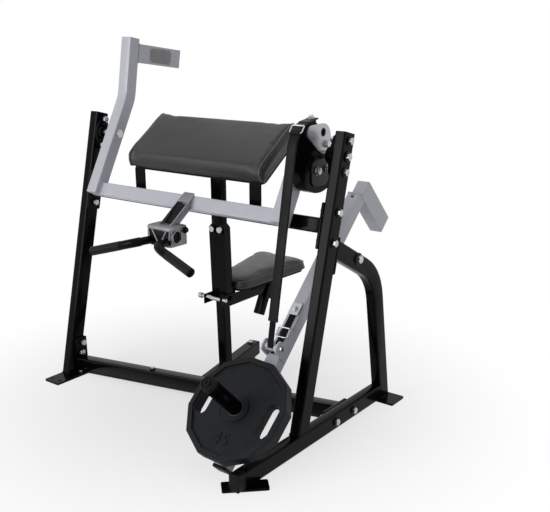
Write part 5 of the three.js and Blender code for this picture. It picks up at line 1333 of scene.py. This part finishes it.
@dataclass
class WeightLever:
    """The silver weight lever with its horn, counterweight, roller and strap fittings.

    Attributes:
        silvers: CAD nodes in silver paint.
        horn_at: the horn's place along the lever.
        horn_base: the horn's foot above the lever's axis.
        horn_length: its length.
        front, rear: the ends of the lever with its bumper, along its axis.
        roller: the roller's axis, along and above the lever's.
        ring_at: the wire ring's middle, in the same way.
        ring_tilt: how far the ring stands up from the lever.
    """

    silvers: tuple[str, ...] = ("lever_tube", "counterweight", "strap_roller")
    horn_at: float = -642.0
    horn_base: float = 25.3
    horn_length: float = 243.0
    front: float = -827.3
    rear: float = 243.0
    roller: tuple[float, float] = (-402.0, 50.0)
    ring_at: tuple[float, float] = (-337.0, 33.6)
    ring_tilt: float = 0.14

    def horn(self) -> None:
        """The horn: flange and shaft as one turned form, and a grooved end cap."""
        foot = on_lever(STRAP_X, self.horn_at, self.horn_base)
        _, up = lever_axes()
        h = self.horn_length
        shaft = [(44, 0), (45, 1), (45, 11.6), (43.6, 13), (27, 13.4), (25.4, 15.5), (25, 19), (25, h - 24),
                 (24, h - 23.4)]
        Shell().revolve(shaft, foot, up, 56).build("horn_shaft", PAINT["black"], "lever", "black_paint")
        end = [(22, -24), (22, -22.4), (24.6, -22), (25, -21), (25, -15), (24.3, -14), (24.3, -12.6),
               (25, -11.6), (25, -5.4), (23.6, -3.6), (18.5, -3.4), (17.6, -5), (12.6, -5), (11.6, -4),
               (11.2, -0.6), (10, -0.2), (5.5, -0.4), (5, -3), (0.4, -3)]
        cap = Shell().revolve(np.array(end) + (0, h), foot, up, 48)
        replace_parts(cap.build("horn_cap", PAINT["plastic"], "lever", "black_paint", 30), "loading_horn")

    def strap_end(self) -> None:
        """The strap that comes back up from the roller through the ring to the anchor.

        Formula: its height over the lever is read between chosen places along it.
        """
        s = np.array([-416, -402, -390, -350, -348, -335, -322, -320, -250, -226.0])
        lift = np.array([27.2, 27.6, 27.6, 27.6, 28.6, 31, 28.6, 27.6, 27.5, 27.5])
        t, marks = np.linspace(0, len(s) - 1, 60), np.arange(len(s))
        web = Shell().band(on_lever(STRAP_X, np.interp(t, marks, s), np.interp(t, marks, lift)), 24, 3)
        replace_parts(web.build("strap_return_skin", PAINT["webbing"], "lever", "webbing"), "strap_return")
        seams = Shell()
        _, up = lever_axes()
        low, high, half, top = -312, -272, 9, 29.3
        for x in (STRAP_X - half, STRAP_X + half):
            seams.stitches(on_lever(x, np.linspace(low, high, 8), top), up, 3.6, 1.2, 0.5)
        for at in (low, high):
            seams.stitches(on_lever(STRAP_X + np.linspace(-half, half, 5), at, top), up, 3.6, 1.2, 0.5)
        seams.build("strap_return_stitches", PAINT["thread"], "lever", "webbing")

    def fittings(self) -> None:
        """Bumper, anchor plate, ring, roller bolts, end plug and welds."""
        run, up = lever_axes()
        smooth_copy("lever_bumper", PAINT["plastic"], "lever", bevel=2)
        smooth_copy("strap_anchor", PAINT["zinc"], "lever")
        middle, down = on_lever(STRAP_X, *self.ring_at), unit(run + up * self.ring_tilt)
        ring = Shell().wire(middle, down, np.cross(X_AXIS, down), (44, 34, 6), (2.9, 2.9))
        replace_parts(ring.build("strap_rings", PAINT["zinc"], "lever", "zinc"), "strap_buckle")
        kit = Hardware("lever")
        hex_bolt(kit.heads, kit.washers, on_lever(STRAP_X, -243, 33), up, 17, 7, 0.2, 22)
        for sign in (-1, 1):
            foot = on_lever(STRAP_X + sign * 30.6, *self.roller)
            hex_bolt(kit.heads, kit.washers, foot, (sign, 0, 0), 17, 6.5, 0.4, 22)
        kit.heads.build("lever_bolts", PAINT["zinc"], "lever", "zinc", 24)
        kit.washers.build("lever_washers", PAINT["zinc"], "lever", "zinc", 30)
        end_plug(kit.plugs, on_lever(STRAP_X, self.front - PROUD, 0), -run, X_AXIS, up, 48.6, 48.6, 1.6)
        kit.plugs.build("lever_end_cap", PAINT["plastic"], "lever", "rubber", 60)
        kit.weld(on_lever(STRAP_X, self.rear + 0.4, 0), X_AXIS, up, 50, 50, 4, 4)
        horn_foot = on_lever(STRAP_X, self.horn_at, self.horn_base + PROUD)
        a = np.linspace(0, 6.28, 40)[:, None]
        weld_bead(kit.welds, horn_foot + 44.6 * MM * (np.cos(a) * X_AXIS + np.sin(a) * run), 3.6)
        kit.welds.build("lever_weld_beads", PAINT["silver"], "lever", "silver_paint", 60)

    def build(self) -> None:
        """Dresses the lever."""
        for node in self.silvers:
            smooth_copy(node, PAINT["silver"], "lever", bevel=1.0)
        self.horn()
        self.strap_end()
        self.fittings()


@dataclass
class Plate:
    """The rubber weight plate on the horn.

    Attributes:
        figure: the plain number that stands on its face.
        figure_out: the number's distance from the bore.
        back: the plate's rear face above the lever's axis.
        recess: height of the recessed face above that.
        sides: how many sides the plate has.
        first_corner: the angle of one corner.
    """

    figure: str = "45"
    figure_out: float = 108.0
    back: float = 38.6
    recess: float = 39.0
    sides: int = 12
    first_corner: float = math.radians(12)

    def numerals(self) -> None:
        """The plain number as raised figures, read from the front, made a mesh before it is placed."""
        run, up = lever_axes()
        text = bpy.data.curves.new("figure", "FONT")
        text.body = self.figure
        text.size, text.extrude, text.bevel_depth = 0.056, 0.0014, 0.0006
        text.align_x, text.align_y = "CENTER", "CENTER"
        text.space_character = 1.1
        flat = bpy.data.objects.new("figure", text)
        mesh = bpy.data.meshes.new_from_object(flat)
        bpy.data.objects.remove(flat)
        centre = on_lever(STRAP_X, WeightLever.horn_at, self.back + self.recess + 0.8)
        centre -= self.figure_out * MM * run
        basis = Matrix(np.column_stack([X_AXIS, run, up]).tolist()).to_4x4()
        mesh.transform(Matrix.Translation(Vector(centre)) @ basis)
        work = bmesh.new()
        work.from_mesh(mesh)
        bmesh.ops.remove_doubles(work, verts=work.verts, dist=1e-6)
        bmesh.ops.recalc_face_normals(work, faces=work.faces)
        work.to_mesh(mesh)
        work.free()
        mesh.uv_layers.new(name="UVMap")
        adopt("plate_figure_0", mesh, PAINT["rubber"], "weight", 30)

    def outline(self, steps: int) -> Array:
        """The plate's outline with its corners at one, in the directions X and along the lever.

        Formula: between two corners, (1 - t) corner + t next corner, with a number of steps to each side.

        Returns:
            Points round the plate as unit-sized offsets.
        """
        run, _ = lever_axes()
        index = np.arange(self.sides * steps)
        angle = self.first_corner + np.arange(self.sides) * 2 * math.pi / self.sides
        corner = np.cos(angle)[:, None] * X_AXIS + np.sin(angle)[:, None] * run
        t = (index % steps / steps)[:, None]
        side = index // steps
        return (1 - t) * corner[side] + t * corner[(side + 1) % self.sides]

    def rings(self) -> None:
        """Raised rings round the hub and inside the rim, and the steel bush of the bore."""
        foot = on_lever(STRAP_X, WeightLever.horn_at, self.back)
        _, up = lever_axes()
        hub = Shell()
        boss = [(46, 38), (46, 44.6), (45, 45.9), (41, 46.2), (40, 44.8), (36, 44.8), (35, 46.6), (29.6, 46.8),
                (28.4, 45.4), (28.4, 38)]
        bead = [(62, 38.4), (62, 39.9), (61, 40.6), (58, 40.6), (57, 39.9), (57, 38.4)]
        hub.revolve(boss, foot, up, 64, loop=True)
        hub.revolve(bead, foot, up, 72, loop=True)
        rim = MM * np.array([(160, 38.6), (160, 40.2), (158.8, 40.9), (156.6, 40.9), (155.6, 40.2),
                             (155.6, 38.6)])
        hub.grid(foot + rim[:, 1, None, None] * up + rim[:, 0, None, None] * self.outline(8)[None], loop=True)
        hub.build("plate_rings", PAINT["rubber"], "weight", "rubber")
        bush = Shell()
        sleeve = [(26.2, 0.4), (28.6, 0.4), (28.6, 46.1), (28, 46.6), (26.6, 46.6), (26.2, 46.1)]
        bush.revolve(sleeve, foot, up, 56, loop=True)
        bush.build("plate_bush", PAINT["grey"], "weight", "rubber")

    def build(self) -> None:
        """Dresses the plate."""
        smooth_copy("weight_plate", PAINT["rubber"], "weight", bevel=1.6)
        self.rings()
        self.numerals()


@dataclass
class Strap:
    """The strap in its sleeve between cam and roller.

    Attributes:
        top: where it leaves the cam, (y, z).
        lean: its lean forwards on the way down.
        sleeve_end, foot: heights at which sleeve and webbing end.
    """

    top: tuple[float, float] = (133.26, 981.4)
    lean: float = math.radians(10.25)
    sleeve_end: float = 446.0
    foot: float = 357.5

    def run(self, x: float, z: Array, lift: float = 0.0) -> Array:
        """Points on the strap's middle at the heights, a lift in front of it."""
        z = np.asarray(z, float)
        y = self.top[0] - (self.top[1] - z) * math.tan(self.lean) - lift * math.cos(self.lean)
        return place(x, y, z + lift * math.sin(self.lean))

    def build(self) -> None:
        """Builds sleeve, webbing and seams."""
        front = np.array([0, -math.cos(self.lean), math.sin(self.lean)])
        sleeve, web, seams = Shell(), Shell(), Shell()
        top, low = self.top[1], self.sleeve_end
        sleeve.band(self.run(STRAP_X, np.linspace(top, low, 90)), Cam.width, Cam.belt)
        sleeve.band(self.run(STRAP_X, np.linspace(low + 9, low - 1.5, 6)), 38.6, 8.6)
        web.band(self.run(STRAP_X, np.linspace(low + 2, self.foot, 30)), 24, 3)
        lift = Cam.belt / 2 + 0.05
        for x in (-14.5, 14.5):
            seams.stitches(self.run(STRAP_X + x, np.linspace(top - 3, low + 12, 60), lift), front)
        for z in (low + 13, low + 17):
            seams.stitches(self.run(STRAP_X + np.linspace(-14, 14, 6), z, lift), front, 3.4, 1.4)
        for name, shell, paint, nodes in (
            ("strap_sleeve_skin", sleeve, PAINT["sleeve"], ("strap_sleeve",)),
            ("strap_web_skin", web, PAINT["webbing"], ("strap_web",)),
            ("strap_stitches", seams, PAINT["thread"], ()),
        ):
            piece = shell.build(name, paint, "strap", "webbing")
            if nodes:
                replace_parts(piece, *nodes)
            tuple(place(STRAP_X, *self.top))
            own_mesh(piece)


@dataclass
class Upholstery:
    """The arm pad, the seat cushion and their boards.

    Attributes:
        voxel: remesh size in metres.
        pressure: cloth pressure that swells the padding.
        stiffness: of the cover, against stretch and squeeze.
        frames: how long the simulation runs.
        cap: how far a point may move, in metres.
        pad_slope: the arm pad's slope.
        pad_mid: the middle of its upper face.
        pad_half: half its length, from nose to rear edge, and half its thickness.
        pad_end: the piping's distance from the middle.
        seat_tilt: how far the seat rises to the rear.
        seat_front: the middle of its front edge, at its underside.
        seat_width: half its widths at the rear and at the front.
        seat_length: from front to rear.
    """

    voxel: float = 0.005
    pressure: float = 4.0
    stiffness: float = 22.0
    frames: int = 20
    cap: float = 0.007
    pad_slope: float = math.radians(35)
    pad_mid: tuple[float, float, float] = (4.0, 261.0, 969.0)
    pad_half: tuple[float, float] = (128.0, 28.0)
    pad_end: float = 307.0
    seat_tilt: float = math.radians(3)
    seat_front: tuple[float, float, float] = (0.0, 365.0, 390.0)
    seat_width: tuple[float, float] = (132.5, 75.0)
    seat_length: float = 372.0

    def swell(self, obj: bpy.types.Object, down: Array) -> None:
        """Swells a closed cushion by a cloth simulation and keeps its underside flat.

        Formula: each point moves by the simulated way, cut to the cap, times 1 where its normal faces away
        from the board and 0 where it faces the board.

        Args:
            obj: the cushion.
            down: the direction towards its board.
        """
        remesh = obj.modifiers.new("skin", "REMESH")
        remesh.mode, remesh.voxel_size, remesh.use_smooth_shade = "VOXEL", self.voxel, True
        bake(obj)
        mesh = obj.data
        start = np.zeros(len(mesh.vertices) * 3, np.float32)
        mesh.vertices.foreach_get("co", start)
        normal = np.zeros_like(start)
        mesh.vertices.foreach_get("normal", normal)
        hold = np.clip(0.35 - normal.reshape(-1, 3) @ down, 0, 0.5)[:, None] * 2
        cloth = obj.modifiers.new("padding", "CLOTH")
        cloth.settings.use_pressure = True
        cloth.settings.uniform_pressure_force = self.pressure
        cloth.settings.quality = 6
        cloth.settings.tension_stiffness = cloth.settings.compression_stiffness = self.stiffness
        cloth.settings.effector_weights.gravity = 0
        cloth.point_cache.frame_end = self.frames
        for frame in range(1, self.frames + 1):
            bpy.context.scene.frame_set(frame)
        bake(obj)
        bpy.context.scene.frame_set(1)
        mesh = obj.data
        end = np.zeros_like(start)
        mesh.vertices.foreach_get("co", end)
        move = (end - start).reshape(-1, 3)
        size = np.linalg.norm(move, axis=1, keepdims=True)
        move *= np.minimum(1, self.cap / np.maximum(size, 1e-9)) * hold
        mesh.vertices.foreach_set("co", (start.reshape(-1, 3) + move).ravel())
        smooth = obj.modifiers.new("even", "SMOOTH")
        smooth.factor, smooth.iterations = 0.5, 6
        bake(obj)
        fine = obj.modifiers.new("fine", "SUBSURF")
        fine.levels = fine.render_levels = 1

    def cushion(self, node: str, body: str, down: Array) -> bpy.types.Object:
        """A swollen copy of a CAD cushion that stands for it.

        Returns:
            The cushion.
        """
        source = FRAME["nodes"][node].data
        work = bmesh.new()
        work.from_mesh(source)
        bmesh.ops.remove_doubles(work, verts=work.verts, dist=1e-6)
        mesh = bpy.data.meshes.new(f"{node}_skin")
        work.to_mesh(mesh)
        work.free()
        obj = adopt(f"{node}_skin", mesh, PAINT["vinyl"], body, 60)
        self.swell(obj, down)
        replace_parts(obj, node)
        return obj

    def welt(self, name: str, obj: bpy.types.Object, paths: Sequence[Array], body: str,
             radius: float = 2.1) -> None:
        """Piping that lies on the cushion's surface along closed runs.

        Args:
            name: the piece's name.
            obj: the cushion.
            paths: closed runs near the surface, in metres.
            body: its body.
            radius: of the piping, in millimetres.
        """
        tree = surface_tree(obj)
        cord = Shell()
        for path in paths:
            spots, normals = nearest(tree, path)
            spots = spots + normals * 0.35 * MM
            a = turns(10)
            ring = np.stack([np.cos(a), np.sin(a)], -1) * radius * MM
            cord.sweep(spots, ring, np.cross(directions(spots, closed=True), normals), normals, loop=True)
        cord.build(name, PAINT["piping"], body, "vinyl", 80)

    def seams(self, name: str, obj: bpy.types.Object, paths: Sequence[Array], body: str) -> None:
        """Rows of stitches that lie on the cushion's surface."""
        tree = surface_tree(obj)
        thread = Shell()
        for path in paths:
            spots, normals = nearest(tree, path)
            thread.stitches(spots + normals * 0.2 * MM, normals, 5.0, 2.2, 0.5)
        thread.build(name, PAINT["thread"], body, "vinyl")

    def arm_pad(self) -> None:
        """The arm pad: piping round both ends, a row of stitches beside each, and its board.

        Formula: the piping's run is a superellipse, half size times sign(cos) |cos|^0.42, which the nearest
        surface points then take up.
        """
        out, run = lean_axes(-self.pad_slope)
        obj = self.cushion("arm_pad", "frame", -out)
        middle, (half, thick) = place(*self.pad_mid), self.pad_half
        t = turns(160)
        a = half * np.sign(np.cos(t)) * np.abs(np.cos(t)) ** 0.42
        b = thick * np.sign(np.sin(t)) * np.abs(np.sin(t)) ** 0.42 - thick
        upper = slice(0, len(t) // 2)
        loops, rows = [], []
        for sign in (-1, 1):
            loops.append(middle + (sign * self.pad_end * X_AXIS + a[:, None] * run + b[:, None] * out) * MM)
            rows.append(middle + (sign * (self.pad_end - 10) * X_AXIS + a[upper, None] * run
                                  + (b[upper, None] + 2) * out) * MM)
        self.welt("arm_pad_piping", obj, loops, "frame", 4.0)
        self.seams("arm_pad_stitches", obj, rows, "frame")
        smooth_copy("pad_board", PAINT["plywood"], "frame")

    def seat_outline(self) -> Array:
        """The seat's outline in plan, its corners rounded, as evenly spaced points.

        Formula: a quadratic curve (1-t)^2 a + 2t(1-t) corner + t^2 b cuts each corner between the points a
        and b, a rounding's reach before and after it.

        Returns:
            Points (x, distance from the front), in millimetres.
        """
        (rear, front), length, reach = self.seat_width, self.seat_length, 48
        corners = np.array([(rear, length), (-rear, length), (-front, 0), (front, 0)], float)
        t = np.linspace(0, 1, 10)[:, None]
        parts = []
        for here, before, after in zip(corners, np.roll(corners, 1, 0), np.roll(corners, -1, 0)):
            a, b = here + unit(before - here) * reach, here + unit(after - here) * reach
            parts.append((1 - t) ** 2 * a + 2 * t * (1 - t) * here + t**2 * b)
        line = np.concatenate(parts)
        closed = np.concatenate([line, line[:1]])
        along = np.concatenate([[0], np.cumsum(np.linalg.norm(np.diff(closed, axis=0), axis=1))])
        spots = np.linspace(0, along[-1], 220, endpoint=False)
        return np.stack([np.interp(spots, along, closed[:, k]) for k in range(2)], -1)

    def seat(self) -> None:
        """The seat: piping round its upper and lower edge, board, stem and pull pin."""
        out, run = lean_axes(-self.seat_tilt)
        obj = self.cushion("seat_cushion", "seat", -out)
        line = self.seat_outline()
        middle, front, loops = line.mean(0), place(*self.seat_front), []
        for inset, height in ((3.5, 31.5), (2.0, 5.0)):
            edge = middle + (line - middle) * (1 - inset / 150)
            loops.append(front + (edge[:, :1] * X_AXIS + edge[:, 1:] * run + height * out) * MM)
        self.welt("seat_piping", obj, loops, "seat", 2.5)
        smooth_copy("seat_board", PAINT["plywood"], "seat")
        smooth_copy("seat_stem", PAINT["black"], "seat")
        smooth_copy("pull_pin", PAINT["zinc"], "pin")

    def build(self) -> None:
        """Builds both cushions."""
        self.arm_pad()
        self.seat()


def bake(obj: bpy.types.Object) -> None:
    """Applies an object's modifiers and leaves the result as its mesh."""
    graph = bpy.context.evaluated_depsgraph_get()
    mesh = bpy.data.meshes.new_from_object(obj.evaluated_get(graph), depsgraph=graph)
    old = obj.data
    obj.modifiers.clear()
    obj.data = mesh
    mesh.name = old.name
    mesh.polygons.foreach_set("use_smooth", np.ones(len(mesh.polygons), bool))


def surface_tree(obj: bpy.types.Object) -> BVHTree:
    """A search tree of the object's finished surface."""
    return BVHTree.FromObject(obj, bpy.context.evaluated_depsgraph_get())


def nearest(tree: BVHTree, path: Array) -> tuple[Array, Array]:
    """The nearest surface points to a run of points, and the outward normals there.

    Returns:
        Two arrays of the run's shape.
    """
    found = [tree.find_nearest(Vector(p)) for p in path]
    return np.array([f[0][:] for f in found]), np.array([f[1][:] for f in found])


# Studio


@dataclass(frozen=True)
class Camera:
    """The photograph's camera, in the measuring frame.

    Attributes:
        azimuth, elevation: viewing angles in degrees.
        position: the lens, in millimetres.
        image: width and height of the image in pixels.
        focal: focal length in pixels.
        centre: principal point in pixels.
        sensor: sensor width in millimetres.
    """

    azimuth: float = 36.9
    elevation: float = 19.75
    position: tuple[float, float, float] = (1967.08, -1953.46, 1325.30)
    image: tuple[int, int] = (550, 512)
    focal: float = 817.38
    centre: tuple[float, float] = (273.77, 325.29)
    sensor: float = 36.0

    def build(self) -> None:
        """Creates the camera and makes it the scene's."""
        data = bpy.data.cameras.new("studio_camera")
        cam = bpy.data.objects.new("studio_camera", data)
        bpy.context.scene.collection.objects.link(cam)
        a, e = math.radians(self.azimuth), math.radians(self.elevation)
        back = Vector((math.sin(a) * math.cos(e), -math.cos(a) * math.cos(e), math.sin(e)))
        cam.location = Vector(place(*self.position))
        cam.rotation_euler = (-back).to_track_quat("-Z", "Y").to_euler()
        width, height = self.image
        data.sensor_width = self.sensor
        data.lens = self.focal / width * self.sensor
        data.shift_x = (width / 2 - self.centre[0]) / width
        data.shift_y = (self.centre[1] - height / 2) / width
        data.clip_end = 50
        bpy.context.scene.camera = cam


@dataclass(frozen=True)
class Studio:
    """Floor, world and soft lamps.

    Attributes:
        tone: the floor's colour under the machine.
        near, far: distances in metres between which the floor turns to the backdrop's white.
        base: the share of plain white under the machine.
        fill: the world's strength as a light.
        reach: half the floor's width in metres.
        aim: height in metres that the lamps look at.
        lamps: name, place in metres, power in watts and size in metres of each lamp.
    """

    tone: float = 0.9
    near: float = 0.2
    far: float = 1.35
    base: float = 0.6
    fill: float = 0.3
    reach: float = 14.0
    aim: float = 0.6
    lamps: tuple[tuple[str, tuple[float, float, float], float, float], ...] = (
        ("key", (-1.4, -4.2, 1.7), 92, 2.2),
        ("top", (-0.4, 0.3, 4.2), 19, 3.0),
        ("side", (4.0, 0.2, 1.2), 7, 1.6),
    )

    def seen(self, tree: bpy.types.NodeTree) -> bpy.types.NodeSocket:
        """One where the camera, a reflection or a transmitted ray looks, and else zero."""
        path = make_node(tree, "LightPath")
        first = math_node(tree, "MAXIMUM", path.outputs["Is Camera Ray"], path.outputs["Is Glossy Ray"])
        return math_node(tree, "MAXIMUM", first, path.outputs["Is Transmission Ray"])

    def floor(self) -> None:
        """A wide pale floor that keeps the machine's shadow and fades to white further out.

        Formula: the share of plain white goes from base to one with smoothstep((distance - near) /
        (far - near)).
        """
        mesh = bpy.data.meshes.new("floor")
        s = self.reach
        mesh.from_pydata([(-s, -s, 0), (s, -s, 0), (s, s, 0), (-s, s, 0)], [], [(0, 1, 2, 3)])
        obj = bpy.data.objects.new("floor", mesh)
        bpy.context.scene.collection.objects.link(obj)
        material = bpy.data.materials.new("pale_floor")
        material.use_nodes = True
        tree = material.node_tree
        shader = tree.nodes["Principled BSDF"]
        shader.inputs["Base Color"].default_value = (self.tone,) * 3 + (1.0,)
        shader.inputs["Roughness"].default_value = 0.9
        shader.inputs["Specular IOR Level"].default_value = 0.1
        where = make_node(tree, "TexCoord")
        length = make_node(tree, "VectorMath", operation="LENGTH")
        tree.links.new(where.outputs["Object"], length.inputs[0])
        fade = make_node(tree, "MapRange", interpolation_type="SMOOTHSTEP")
        fade.inputs["From Min"].default_value, fade.inputs["From Max"].default_value = self.near, self.far
        tree.links.new(length.outputs["Value"], fade.inputs["Value"])
        fade.inputs["To Min"].default_value = self.base
        share = math_node(tree, "MULTIPLY", fade.outputs[0], self.seen(tree))
        glow = make_node(tree, "Emission", Color=(1, 1, 1, 1))
        mix = make_node(tree, "MixShader")
        tree.links.new(share, mix.inputs[0])
        tree.links.new(shader.outputs[0], mix.inputs[1])
        tree.links.new(glow.outputs[0], mix.inputs[2])
        tree.links.new(mix.outputs[0], tree.nodes["Material Output"].inputs["Surface"])
        mesh.materials.append(material)

    def world(self) -> None:
        """White where it is seen, softer as a light."""
        world = bpy.data.worlds.new("studio_world")
        bpy.context.scene.world = world
        world.use_nodes = True
        tree = world.node_tree
        tree.nodes.clear()
        glow = make_node(tree, "Background", Color=(1, 1, 1, 1))
        tree.links.new(math_node(tree, "MAXIMUM", self.seen(tree), self.fill), glow.inputs["Strength"])
        out = make_node(tree, "OutputWorld")
        tree.links.new(glow.outputs[0], out.inputs[0])

    def lamp(self, name: str, spot: tuple[float, float, float], power: float, size: float) -> None:
        """A square soft lamp that looks at the machine's middle.

        Args:
            name: the lamp's name.
            spot: its place in metres.
            power: in watts.
            size: its side in metres.
        """
        data = bpy.data.lights.new(name, "AREA")
        data.energy, data.size = power, size
        obj = bpy.data.objects.new(name, data)
        bpy.context.scene.collection.objects.link(obj)
        obj.location = spot
        obj.rotation_euler = (Vector((0, 0, self.aim)) - Vector(spot)).to_track_quat("-Z", "Y").to_euler()

    def build(self) -> None:
        """Sets the stage."""
        self.floor()
        self.world()
        for lamp in self.lamps:
            self.lamp(*lamp)


def main() -> None:
    """Builds the machine, then the studio."""
    logging.basicConfig(level=logging.INFO, format="%(message)s")
    FRAME.update(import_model())
    GROUPS.update(speckle=speckle_group(), edge_wear=edge_group(), weave=weave_group(), leather=leather_group())
    for key, finish in FINISHES.items():
        PAINT[key] = finish.build()
    Camera().build()
    assemblies = (BlackFrame(), SwingArm(), Cam(), CurlHandle(), WeightLever(), Plate(), Strap(), Upholstery())
    for assembly in assemblies:
        LOG.info("building %s", type(assembly).__name__)
        assembly.build()
    Studio().build()
    bpy.context.scene.view_settings.view_transform = "Standard"


if __name__ == "__main__":
    main()
